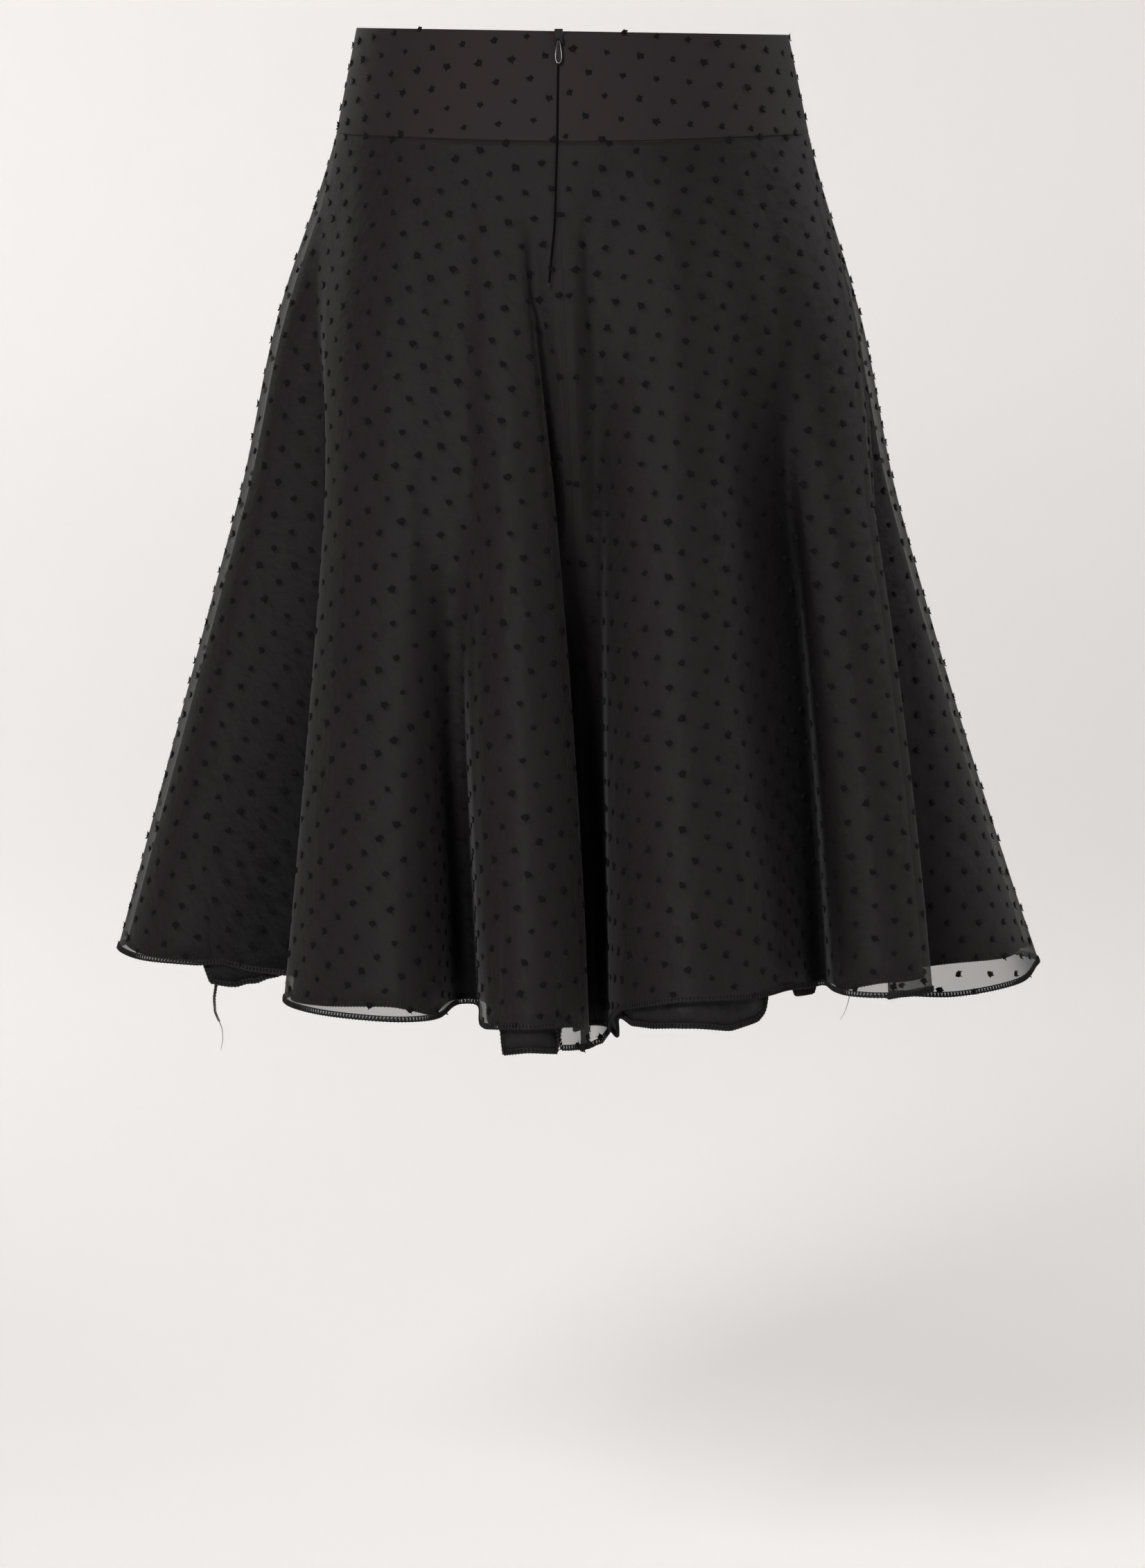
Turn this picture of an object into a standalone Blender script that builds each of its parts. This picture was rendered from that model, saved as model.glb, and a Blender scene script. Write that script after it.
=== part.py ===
"""A flared midi skirt with a shaped waistband, an invisible zip at the centre back and a lining.

The origin is the centre of the waist opening. The wearer's back faces -Y, +X is the right of
the photograph and +Z is up. Metres throughout.
"""

import math

import bmesh
import bpy
import numpy as np

# Waistband: half widths of its rings, and its levels
WAIST_HALF_WIDTH = 0.1400
WAIST_HALF_DEPTH = 0.1000
SEAM_HALF_WIDTH = 0.1535
SEAM_HALF_DEPTH = 0.1180
SEAM_LEVEL = -0.0660
SEAM_DIP_AT_BACK = 0.0026
WAIST_TILT = -0.016
BAND_THICKNESS = 0.0028
BAND_ROWS = 3
BAND_STEP_DEG = 7.0
BAND_END_DEG = 0.8

# Skirt and lining
HEM_LEVEL = -0.6100
HIP_SWELL = 0.0065
HIP_END = 0.45
SKIRT_THICKNESS = 0.0012
SKIRT_ROWS = 10
LINING_THICKNESS = 0.0010
LINING_ROWS = 8
ROW_CROWDING = 1.3
LINING_INSET_AT_SEAM = 0.0016
LINING_TOP_GAP = 0.0010
LINING_INSET = 0.0050
LINING_INSET_FULL = 0.10
STEPS_BETWEEN_MARKS = 2
SEAM_GAP = 0.0003
SEAM_GAP_SHARE = 0.6

# Folds
BULGE = 0.16
CREST_SPREAD = 0.35
VALLEY_WIDTH = 0.012
VALLEY_SHARE = 0.35
VALLEY_HALF_DEG = 1.0
VALLEY_OUTER_SHARE = 1 / 6
MITRE_LEAST = 0.6

# Zip
ZIP_DEG = -3.6
ZIP_LENGTH = 0.163
ZIP_STRIP_WIDTH = 0.0060
ZIP_STRIP_THICKNESS = 0.0016
ZIP_STRIP_TOP = 0.0112
ZIP_STRIP_ROWS = 14
ZIP_STRIP_BEHIND_LINING = 0.0014
NOTCH_DEPTH = 0.0036
NOTCH_HALF_WIDTH = 0.0080
SLIDER_WIDTH = 0.0053
SLIDER_LENGTH = 0.0100
SLIDER_PLATE = 0.0014
SLIDER_NECK_WIDTH = 0.0022
SLIDER_NECK_HEIGHT = 0.0020
SLIDER_BODY_LENGTH = 0.0080
SLIDER_BODY_THICKNESS = 0.0022
SLIDER_RISE = 0.0012
SLIDER_EDGE = 0.0003
EAR_THICKNESS = 0.0011
EAR_HEIGHT = 0.0040
EAR_REACH = 0.0030
EAR_ROOT = 0.0006
PIN_RADIUS = 0.00050
PIN_OUT = 0.0018
PIN_DOWN = 0.0072
EYELET_RADIUS = 0.00145
EYELET_HOLE = 0.00085
EYELET_WIDTH = 0.0018
PULL_WIDTH = 0.0047
PULL_LENGTH = 0.0165
PULL_THICKNESS = 0.0012
PULL_TOP_WIDTH = 0.52
PULL_SPREAD = 0.72
PULL_POINTS = 20
SLIDER_STANDOFF = 0.0007
SLIDER_CLEARANCE = 0.0004

# The tracks at the zip: side, place from the valley's middle in millimetres, onset and full
ZIP_TROUGH_DEG = 7.2
ZIP_LINING = 17.0
ZIP_OUTER_SHARE = 0.35
ZIP_MARKS = (
    ("zip_trough_left", -1.0, -8, -12, 0.00, 0.45),
    ("zip_left", -0.38, -4, 0, 0.16, 0.55),
    ("zip", 0.0, 0, 3, 0.16, 0.55),
    ("zip_right", 0.38, 4, 0, 0.16, 0.55),
    ("zip_trough_right", 1.0, 9, -12, 0.00, 0.45),
)

# One row for each fold, from the zip round to the right. Places are at the hem, in millimetres,
# angles are on the waist seam, and onset and full are the valley's, as shares of the length.
FOLD_COLUMNS = (
    "name left_x left_y crest_x crest_y right_x right_y valley_x valley_y"
    " crest_deg valley_deg onset full lean_left lean_right lean_valley"
).split()
FOLD_ROWS = (
    ("fold_4", 24, -176, 70, -247, 136, -188, 157, -128, 24, 44, 0.00, 0.60, -3, -4, 6),
    ("fold_5", 167, -154, 194, -183, 229, -152, 205, -113, 62, 80, 0.26, 0.80, 4, 10, 9),
    ("flare_right", 246, -94, 307, -6, 302, 30, 238, 60, 89, 103, 0.20, 0.80, -5, -10, -6),
    ("front_a", 252, 86, 276, 120, 246, 153, 184, 136, 113, 125, 0.10, 0.60, 0, 0, 0),
    ("front_b", 181, 174, 156, 229, 106, 224, 84, 148, 138, 153, 0.05, 0.55, 0, 0, 0),
    ("front_c", 62, 200, 12, 254, -42, 220, -63, 140, 174, 195, 0.10, 0.65, 0, 0, 0),
    ("front_d", -86, 200, -124, 238, -162, 207, -170, 146, 210, 225, 0.00, 0.55, 0, 0, 0),
    ("front_e", -206, 157, -248, 156, -256, 106, -226, 62, 239, 252, 0.10, 0.65, 0, 0, 0),
    ("flare_left", -286, 42, -301, 0, -244, -57, -161, -92, 269, 279, 0.00, 0.35, 0, 0, -2),
    ("fold_2", -184, -144, -112, -224, -84, -198, -67, -137, 309, 331, 0.30, 0.90, 3, -4, -5),
    ("fold_3", -57, -200, -28, -244, 10, -208, 14, -122, 341, 356.4, 0.00, 0.45, -3, 6, 0),
)

# How far each fold's hem hangs below HEM_LEVEL, and its lining's hem below that, in millimetres
HEM_COLUMNS = (
    "drop_left drop_crest drop_right drop_valley lining_left lining_crest lining_right"
).split()
HEM_ROWS = {
    "fold_4": (-3, -15, -12, -4, 17, 20, 15),
    "fold_5": (-5, -6, -5, 6, -6, -8, -9),
    "flare_right": (9, 4, 3, 0, -20, -13, -6),
    "front_a": (2, 3, 1, -3, -6, -7, -3),
    "front_b": (-2, -4, -1, 2, 4, 6, 3),
    "front_c": (3, 4, 6, 6, 7, 9, 6),
    "front_d": (-1, -3, -2, 2, -3, -6, -4),
    "front_e": (1, 3, 0, -2, 2, 4, -2),
    "flare_left": (-5, -6, -5, -1, -6, -7, 9),
    "fold_2": (2, 2, 4, 6, -4, -7, -3),
    "fold_3": (4, 3, 5, 11, 10, 16, 16),
}
FOLDS = [
    dict(zip(FOLD_COLUMNS, row)) | dict(zip(HEM_COLUMNS, HEM_ROWS[row[0]])) for row in FOLD_ROWS
]
MM = 0.001


def smooth_share(value, start, end):
    """0 before start, 1 after end, and a smooth rise between them."""
    if end <= start:
        return 1.0
    share = min(max((value - start) / (end - start), 0.0), 1.0)
    return share * share * (3.0 - 2.0 * share)


def on_ellipse(degrees, half_width, half_depth):
    """A point of the plan. 0 degrees is the centre back, 90 the right of the photograph."""
    angle = math.radians(degrees)
    return np.array((half_width * math.sin(angle), -half_depth * math.cos(angle)))


def seam_level(degrees):
    return SEAM_LEVEL - SEAM_DIP_AT_BACK * max(0.0, math.cos(math.radians(degrees))) ** 4


def mark(name, degrees, hem, drop, lining, lean=0.0, outer_hem=None, onset=0.0, full=0.0):
    """One track down the cloth, from its place on the waist seam to its place at the hem.

    A valley's track follows outer_hem above onset and hem below full, as shares of the length.
    """
    return {
        "name": name,
        "degrees": degrees,
        "seam": on_ellipse(degrees, SEAM_HALF_WIDTH, SEAM_HALF_DEPTH),
        "hem": hem,
        "outer_hem": hem if outer_hem is None else outer_hem,
        "onset": onset,
        "full": full,
        "lean": lean * MM,
        "drop": drop * MM,
        "lining": lining * MM,
    }


def bulged(a, b):
    """The middle of a and b, moved out on the right of the way from a to b."""
    along = b - a
    return (a + b) / 2 + np.array((along[1], -along[0])) * BULGE


def place(fold, name):
    """A named place of a fold's row, in metres."""
    return np.array((fold[f"{name}_x"], fold[f"{name}_y"])) * MM


def crest_marks(fold, start_deg, end_deg):
    """The five tracks on the outer side of a fold that lies between two valleys."""
    crest_deg = fold["crest_deg"]
    left_deg = start_deg + CREST_SPREAD * (crest_deg - start_deg)
    right_deg = end_deg + CREST_SPREAD * (crest_deg - end_deg)
    left, crest, right = (place(fold, name) for name in ("left", "crest", "right"))
    places = (
        ("left", left_deg, left),
        ("rise", (left_deg + crest_deg) / 2, bulged(left, crest)),
        ("crest", crest_deg, crest),
        ("fall", (crest_deg + right_deg) / 2, bulged(crest, right)),
        ("right", right_deg, right),
    )
    leans = np.linspace(fold["lean_left"], fold["lean_right"], len(places))
    drops = across_fold(fold, "drop")
    linings = across_fold(fold, "lining")
    return [
        mark(f"{fold['name']}_{name}", degrees, hem, drop, lining, lean)
        for (name, degrees, hem), drop, lining, lean in zip(places, drops, linings, leans)
    ]


def across_fold(fold, name):
    """Five values from a fold's left side over its crest to its right side."""
    known = [fold[f"{name}_{side}"] for side in ("left", "crest", "right")]
    return np.interp((0.0, 0.5, 1.0, 1.5, 2.0), (0.0, 1.0, 2.0), known)


def valley_marks(fold, after):
    """The two tracks along the bottom of the valley on a fold's right side."""
    right, left = place(fold, "right"), place(after, "left")
    across = left - right
    distance = float(np.hypot(*across))
    half = across / distance * min(VALLEY_WIDTH, VALLEY_SHARE * distance) / 2
    lining = (fold["lining_right"] + after["lining_left"]) / 2
    return [
        mark(f"{fold['name']}_valley_{name}", fold["valley_deg"] + side * VALLEY_HALF_DEG,
             place(fold, "valley") + half * side, fold["drop_valley"], lining,
             fold["lean_valley"], (right + left) / 2 + across * side * VALLEY_OUTER_SHARE,
             fold["onset"], fold["full"])
        for name, side in (("in", -1.0), ("out", 1.0))
    ]


def zip_marks(fold, after):
    """The tracks of the centre back: a trough on each side of the flat strip at the zip."""
    right, left = place(fold, "right"), place(after, "left")
    bottom = place(fold, "valley")
    made = []
    for name, side, x, y, onset, full in ZIP_MARKS:
        outer = (right + left) / 2 + (left - right) * side * ZIP_OUTER_SHARE
        made.append(
            mark(name, ZIP_DEG + side * ZIP_TROUGH_DEG, bottom + np.array((x, y)) * MM,
                 fold["drop_valley"], ZIP_LINING, 0.0, outer, onset, full)
        )
    return made


def fold_marks():
    """All tracks in order, from the zip round to the right and back to the zip."""
    around = zip_marks(FOLDS[-1], FOLDS[0])
    middle = len(around) // 2
    marks = around[middle:]
    for index, fold in enumerate(FOLDS):
        start_deg = FOLDS[index - 1]["valley_deg"]
        end_deg = fold["valley_deg"]
        if index == 0:
            start_deg += ZIP_TROUGH_DEG - 360.0
        if index == len(FOLDS) - 1:
            end_deg -= ZIP_TROUGH_DEG
        marks += crest_marks(fold, start_deg, end_deg)
        if index < len(FOLDS) - 1:
            marks += valley_marks(fold, FOLDS[index + 1])
    for track in around[:middle]:
        track["degrees"] += 360.0
    return marks + around[:middle]


MARKS = fold_marks()


def plan_of(track, share):
    """Where a track is in plan at a share of the way from the seam to the hem."""
    taken = smooth_share(share, track["onset"], track["full"])
    hem = track["outer_hem"] + (track["hem"] - track["outer_hem"]) * taken
    point = track["seam"] + (hem - track["seam"]) * share
    swell = HIP_SWELL * math.sin(math.pi * min(share / HIP_END, 1.0)) ** 2
    point = point + point / np.hypot(*point) * swell
    return point + np.array((track["lean"] * 4.0 * share * (1.0 - share), 0.0))


def curve_between(points, steps):
    """A closed smooth curve through points, as steps points for each stretch."""
    made = []
    count = len(points)
    for index in range(count):
        p0, p1, p2, p3 = (points[(index + shift) % count] for shift in (-1, 0, 1, 2))
        t0 = 0.0
        t1 = t0 + math.sqrt(np.linalg.norm(p1[:2] - p0[:2]))
        t2 = t1 + math.sqrt(np.linalg.norm(p2[:2] - p1[:2]))
        t3 = t2 + math.sqrt(np.linalg.norm(p3[:2] - p2[:2]))
        for step in range(steps):
            t = t1 + (t2 - t1) * step / steps
            a1 = p0 + (p1 - p0) * (t - t0) / (t1 - t0)
            a2 = p1 + (p2 - p1) * (t - t1) / (t2 - t1)
            a3 = p2 + (p3 - p2) * (t - t2) / (t3 - t2)
            b1 = a1 + (a2 - a1) * (t - t0) / (t2 - t0)
            b2 = a2 + (a3 - a2) * (t - t1) / (t3 - t1)
            made.append(b1 + (b2 - b1) * (t - t1) / (t2 - t1))
    return np.array(made)


def track_point(track, share):
    """A point of the chiffon on a track, at a share of its length."""
    x, y = plan_of(track, share)
    top = seam_level(track["degrees"]) - SEAM_GAP
    low = HEM_LEVEL - track["drop"]
    return np.array((x, y, top + (low - top) * share))


def lining_share(track, share):
    """The chiffon's share that lies level with a share of the lining's own length."""
    top = seam_level(track["degrees"]) - SEAM_GAP
    length = top - HEM_LEVEL + track["drop"]
    lining_length = length + track["lining"] - LINING_TOP_GAP
    return (LINING_TOP_GAP + lining_length * share) / length


def lining_inset(share):
    """How far the lining lies inside the chiffon's outer side."""
    grown = smooth_share(share, 0.0, LINING_INSET_FULL)
    return LINING_INSET_AT_SEAM + (LINING_INSET - LINING_INSET_AT_SEAM) * grown


def inward(ring, distance):
    """The plan of a ring moved in by a distance. The ring runs counter-clockwise from above."""
    plan = ring[:, :2]
    along = np.roll(plan, -1, axis=0) - plan
    along /= np.linalg.norm(along, axis=1)[:, None]
    inside = np.stack((-along[:, 1], along[:, 0]), axis=1)
    halfway = inside + np.roll(inside, 1, axis=0)
    halfway /= np.linalg.norm(halfway, axis=1)[:, None]
    square = np.maximum((halfway * inside).sum(axis=1), MITRE_LEAST)[:, None]
    return plan + halfway / square * distance


def row_shares(count):
    """Shares of the length for a number of rows, closer together near the waist."""
    return [(row / count) ** ROW_CROWDING for row in range(count + 1)]


def skirt_grid():
    rows = []
    for share in row_shares(SKIRT_ROWS):
        points = [track_point(track, share) for track in MARKS]
        rows.append(curve_between(points, STEPS_BETWEEN_MARKS))
    return np.array(rows)


def lining_grid():
    rows = []
    for share in row_shares(LINING_ROWS):
        points = [track_point(track, lining_share(track, share)) for track in MARKS]
        ring = curve_between(points, STEPS_BETWEEN_MARKS)
        plan = inward(ring, lining_inset(share))
        rows.append(np.column_stack((plan, ring[:, 2])))
    return np.array(rows)


def column_of(name):
    return [track["name"] for track in MARKS].index(name) * STEPS_BETWEEN_MARKS


def degrees_at(column):
    """The angle on the waist seam at a column halfway between two tracks."""
    before = column // STEPS_BETWEEN_MARKS
    return (MARKS[before]["degrees"] + MARKS[before + 1]["degrees"]) / 2


# The side seams lie on the flat walls in front of the two side flares.
SIDE_RIGHT = column_of("flare_right_right") + 1
SIDE_LEFT = column_of("flare_left_left") - 1
SIDE_RIGHT_DEG = degrees_at(SIDE_RIGHT)
SIDE_LEFT_DEG = degrees_at(SIDE_LEFT)

garment = bpy.data.collections.new("midi_skirt")
cutters = bpy.data.collections.new("cutters")


def clear_scene():
    for obj in list(bpy.data.objects):
        bpy.data.objects.remove(obj)
    bpy.context.scene.collection.children.link(garment)
    bpy.context.scene.collection.children.link(cutters)
    cutters.hide_render = True


def material(name, color, roughness, metallic=0.0, sheen=0.0):
    made = bpy.data.materials.new(name)
    made.use_nodes = True
    shader = made.node_tree.nodes["Principled BSDF"]
    shader.inputs["Base Color"].default_value = (*color, 1.0)
    shader.inputs["Roughness"].default_value = roughness
    shader.inputs["Metallic"].default_value = metallic
    shader.inputs["Sheen Weight"].default_value = sheen
    return made


def cloth_panel(name, grid, thickness, finish):
    """A wall whose outer side is a grid of points, given row by row from the top."""
    mesh = bpy.data.meshes.new(name)
    shell = bmesh.new()
    points = [[shell.verts.new(point) for point in row] for row in grid]
    for upper, lower in zip(points, points[1:]):
        for column in range(len(upper) - 1):
            shell.faces.new(
                (upper[column], lower[column], lower[column + 1], upper[column + 1])
            )
    shell.to_mesh(mesh)
    shell.free()
    mesh.shade_smooth()
    obj = bpy.data.objects.new(name, mesh)
    garment.objects.link(obj)
    mesh.materials.append(finish)
    wall = obj.modifiers.new("wall", "SOLIDIFY")
    wall.thickness = thickness
    wall.offset = -1.0
    return obj


def between(grid, first, last):
    """The columns from first to last, with each end column moved in by its share of the gap."""
    count = grid.shape[1]
    columns = [index % count for index in range(first, last + 1)]
    panel = grid[:, columns].copy()
    for edge, inner in ((0, 1), (-1, -2)):
        along = panel[:, inner] - panel[:, edge]
        length = np.linalg.norm(along, axis=1)[:, None]
        panel[:, edge] += along / length * SEAM_GAP * SEAM_GAP_SHARE
    return panel


def add_panels(prefix, grid, thickness, finish):
    count = grid.shape[1]
    cloth_panel(f"{prefix}_back_right", between(grid, 0, SIDE_RIGHT), thickness, finish)
    cloth_panel(f"{prefix}_front", between(grid, SIDE_RIGHT, SIDE_LEFT), thickness, finish)
    cloth_panel(f"{prefix}_back_left", between(grid, SIDE_LEFT, count), thickness, finish)


def band_point(degrees, share):
    """A point of the waistband's outer side, at a share of its height from the top."""
    half_width = WAIST_HALF_WIDTH + (SEAM_HALF_WIDTH - WAIST_HALF_WIDTH) * share
    half_depth = WAIST_HALF_DEPTH + (SEAM_HALF_DEPTH - WAIST_HALF_DEPTH) * share
    x, y = on_ellipse(degrees, half_width, half_depth)
    zip_x, zip_y = on_ellipse(ZIP_DEG, half_width, half_depth)
    top = WAIST_TILT * x
    if y < 0.0:
        nearness = max(0.0, 1.0 - abs(x - zip_x) / NOTCH_HALF_WIDTH)
        top -= NOTCH_DEPTH * nearness
    return (x, y, top + (seam_level(degrees) - top) * share)


def band_panel(name, start, end, finish, extra=()):
    """A piece of the waistband. Its end faces are square because its end strips are narrow."""
    count = max(2, round((end - start) / BAND_STEP_DEG))
    angles = {start + (end - start) * step / count for step in range(count + 1)}
    angles |= {start + BAND_END_DEG, end - BAND_END_DEG, *extra}
    angles = sorted(angles)
    rows = [
        [band_point(degrees, row / BAND_ROWS) for degrees in angles]
        for row in range(BAND_ROWS + 1)
    ]
    grid = np.array(rows)
    cloth_panel(name, between(grid, 0, grid.shape[1] - 1), BAND_THICKNESS, finish)


def add_band(finish):
    reach = math.degrees(NOTCH_HALF_WIDTH / WAIST_HALF_WIDTH)
    right = [ZIP_DEG + reach * share for share in (0.5, 1.0)]
    left = [360.0 + ZIP_DEG - reach * share for share in (0.5, 1.0)]
    band_panel("band_back_right", ZIP_DEG, SIDE_RIGHT_DEG, finish, right)
    band_panel("band_front", SIDE_RIGHT_DEG, SIDE_LEFT_DEG, finish)
    band_panel("band_back_left", SIDE_LEFT_DEG, 360.0 + ZIP_DEG, finish, left)


def zip_strip_point(depth):
    """The middle of the zip strip's outer side, at a depth below the waist, with its x."""
    seam_depth = -seam_level(ZIP_DEG)
    if depth <= seam_depth:
        top_depth = -band_point(ZIP_DEG, 0.0)[2]
        x, y, _ = band_point(ZIP_DEG, (depth - top_depth) / (seam_depth - top_depth))
        inset = BAND_THICKNESS + 2 * SEAM_GAP
        return np.array((x, y + inset, -depth))
    hem_depth = -track_point(MARKS[0], 1.0)[2]
    share = (depth - seam_depth) / (hem_depth - seam_depth)
    x, y = plan_of(MARKS[0], share)
    inset = lining_inset(share) + LINING_THICKNESS + ZIP_STRIP_BEHIND_LINING
    return np.array((x, y + inset, -depth))


def add_zip_chain(finish):
    side = np.array((ZIP_STRIP_WIDTH / 2, 0.0, 0.0))
    rows = []
    for row in range(ZIP_STRIP_ROWS + 1):
        depth = ZIP_STRIP_TOP + (ZIP_LENGTH - ZIP_STRIP_TOP) * row / ZIP_STRIP_ROWS
        middle = zip_strip_point(depth)
        rows.append((middle - side, middle, middle + side))
    cloth_panel("zip_chain", np.array(rows), ZIP_STRIP_THICKNESS, finish)


def block(name, size, place, bevel=0.0, collection=None):
    """A box of a size at a place, made from a primitive, with its edges rounded."""
    mesh = bpy.data.meshes.new(name)
    shape = bmesh.new()
    bmesh.ops.create_cube(shape, size=1.0)
    bmesh.ops.scale(shape, vec=size, verts=shape.verts)
    bmesh.ops.translate(shape, vec=place, verts=shape.verts)
    if bevel:
        bmesh.ops.bevel(
            shape, geom=shape.edges[:], offset=bevel, segments=2, affect="EDGES", profile=0.5
        )
    shape.to_mesh(mesh)
    shape.free()
    obj = bpy.data.objects.new(name, mesh)
    (collection or garment).objects.link(obj)
    return obj


def rod(name, radius, width, place, sides, collection):
    """A round bar along X."""
    mesh = bpy.data.meshes.new(name)
    shape = bmesh.new()
    bmesh.ops.create_cone(
        shape, cap_ends=True, segments=sides, radius1=radius, radius2=radius, depth=width
    )
    for vert in shape.verts:
        x, y, z = vert.co
        vert.co = (z + place[0], y + place[1], -x + place[2])
    shape.to_mesh(mesh)
    shape.free()
    obj = bpy.data.objects.new(name, mesh)
    collection.objects.link(obj)
    return obj


def combine(obj, other, operation):
    other.hide_render = True
    other.display_type = "WIRE"
    change = obj.modifiers.new(other.name, "BOOLEAN")
    change.operation = operation
    change.object = other
    change.solver = "EXACT"


def zip_anchor():
    """The place of the slider and its tilt: the band leans out below the waist."""
    x, top_y, top_z = band_point(ZIP_DEG, 0.0)
    _, low_y, low_z = band_point(ZIP_DEG, 1.0)
    lean = (top_y - low_y) / (top_z - low_z)
    return np.array((x, top_y - lean * top_z - SLIDER_STANDOFF, 0.0)), math.atan(lean)


def stand_on_band(objects):
    """Places shapes that were made upright against the leaning band."""
    anchor, tilt = zip_anchor()
    for obj in objects:
        obj.location = anchor
        obj.rotation_euler = (-tilt, 0.0, 0.0)


def add_slider(finish):
    plate_y = -SLIDER_PLATE / 2
    plate = block(
        "zip_slider",
        (SLIDER_WIDTH, SLIDER_PLATE, SLIDER_LENGTH),
        (0.0, plate_y, SLIDER_RISE - SLIDER_LENGTH / 2),
        bevel=SLIDER_EDGE,
    )
    behind = SLIDER_STANDOFF + BAND_THICKNESS + SLIDER_CLEARANCE
    neck_y = (behind + SLIDER_PLATE) / 2 - SLIDER_PLATE / 2
    pieces = [
        block("slider_neck", (SLIDER_NECK_WIDTH, behind + SLIDER_PLATE, SLIDER_NECK_HEIGHT),
              (0.0, neck_y, SLIDER_RISE - SLIDER_NECK_HEIGHT / 2 - SLIDER_EDGE), 0.0, cutters),
        block("slider_body", (SLIDER_WIDTH, SLIDER_BODY_THICKNESS, SLIDER_BODY_LENGTH),
              (0.0, behind + SLIDER_BODY_THICKNESS / 2, SLIDER_RISE - SLIDER_BODY_LENGTH / 2),
              SLIDER_EDGE, cutters),
    ]
    for side in (-1.0, 1.0):
        ear_x = side * (SLIDER_WIDTH - EAR_THICKNESS) / 2
        pieces.append(
            block(f"slider_ear_{'left' if side < 0 else 'right'}",
                  (EAR_THICKNESS, EAR_REACH + EAR_ROOT, EAR_HEIGHT),
                  (ear_x, -SLIDER_PLATE + (EAR_ROOT - EAR_REACH) / 2, -PIN_DOWN),
                  SLIDER_EDGE, cutters)
        )
    pin_place = (0.0, -SLIDER_PLATE - PIN_OUT, -PIN_DOWN)
    pin_width = SLIDER_WIDTH - EAR_THICKNESS
    pieces.append(rod("slider_pin", PIN_RADIUS, pin_width, pin_place, 12, cutters))
    for piece in pieces:
        combine(plate, piece, "UNION")
    plate.data.materials.append(finish)
    stand_on_band([plate, *pieces])


def teardrop_outline(count):
    """The pull tab's outline below its eyelet, round at the bottom and narrow at the top."""
    points = []
    for step in range(count):
        turn = 2 * math.pi * step / count
        down = (1 - math.cos(turn)) / 2
        half = PULL_WIDTH / 2 * math.sin(turn) * (PULL_TOP_WIDTH + PULL_SPREAD * down)
        points.append((half, -(PULL_LENGTH - EYELET_RADIUS) * down))
    return points


def add_pull(finish):
    """The pull tab, with its origin on the pin's axis."""
    shape = bmesh.new()
    outline = teardrop_outline(PULL_POINTS)
    front = [shape.verts.new((x, -PULL_THICKNESS / 2, z)) for x, z in outline]
    shape.faces.new(front)
    grown = bmesh.ops.extrude_face_region(shape, geom=shape.faces[:])
    moved = [item for item in grown["geom"] if isinstance(item, bmesh.types.BMVert)]
    bmesh.ops.translate(shape, vec=(0.0, PULL_THICKNESS, 0.0), verts=moved)
    bmesh.ops.recalc_face_normals(shape, faces=shape.faces)
    mesh = bpy.data.meshes.new("zip_pull")
    shape.to_mesh(mesh)
    shape.free()
    pull = bpy.data.objects.new("zip_pull", mesh)
    garment.objects.link(pull)
    eyelet = rod("pull_eyelet", EYELET_RADIUS, EYELET_WIDTH, (0.0, 0.0, 0.0), 20, cutters)
    hole = rod("pull_hole", EYELET_HOLE, PULL_WIDTH * 2, (0.0, 0.0, 0.0), 16, cutters)
    combine(pull, eyelet, "UNION")
    combine(pull, hole, "DIFFERENCE")
    mesh.materials.append(finish)
    anchor, tilt = zip_anchor()
    out = -SLIDER_PLATE - PIN_OUT
    down = -PIN_DOWN
    pivot = (
        anchor[0],
        anchor[1] + out * math.cos(tilt) + down * math.sin(tilt),
        anchor[2] - out * math.sin(tilt) + down * math.cos(tilt),
    )
    for obj in (pull, eyelet, hole):
        obj.location = pivot
        obj.rotation_euler = (-tilt, 0.0, 0.0)
    print("zip pull pivot", tuple(round(float(value), 5) for value in pivot))


clear_scene()
chiffon = material("chiffon", (0.022, 0.020, 0.021), 0.85, sheen=0.3)
satin = material("satin", (0.028, 0.029, 0.032), 0.45)
tape = material("tape", (0.012, 0.012, 0.013), 0.8)
enamel = material("enamel", (0.008, 0.008, 0.008), 0.2)
add_panels("skirt", skirt_grid(), SKIRT_THICKNESS, chiffon)
add_panels("lining", lining_grid(), LINING_THICKNESS, satin)
add_band(chiffon)
add_zip_chain(tape)
add_slider(enamel)
add_pull(enamel)
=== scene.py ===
# %% [markdown]
# A sheer black midi skirt with clipped dots, seen from behind
#
# The skirt has a shaped waistband, an invisible zip at the centre back, a chiffon layer cut as
# part of a circle, and a satin lining that peeks out under its hem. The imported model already
# holds each piece at its real size. This script keeps that frame and builds the looks round it:
# fine cloth shells on the same folds, thousands of dots, sewn edges, and a detailed slider.

# %% Frame and tools
import math
import random

import bpy
import numpy as np
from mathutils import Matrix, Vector
from mathutils.bvhtree import BVHTree
from mathutils.geometry import convex_hull_2d


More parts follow.
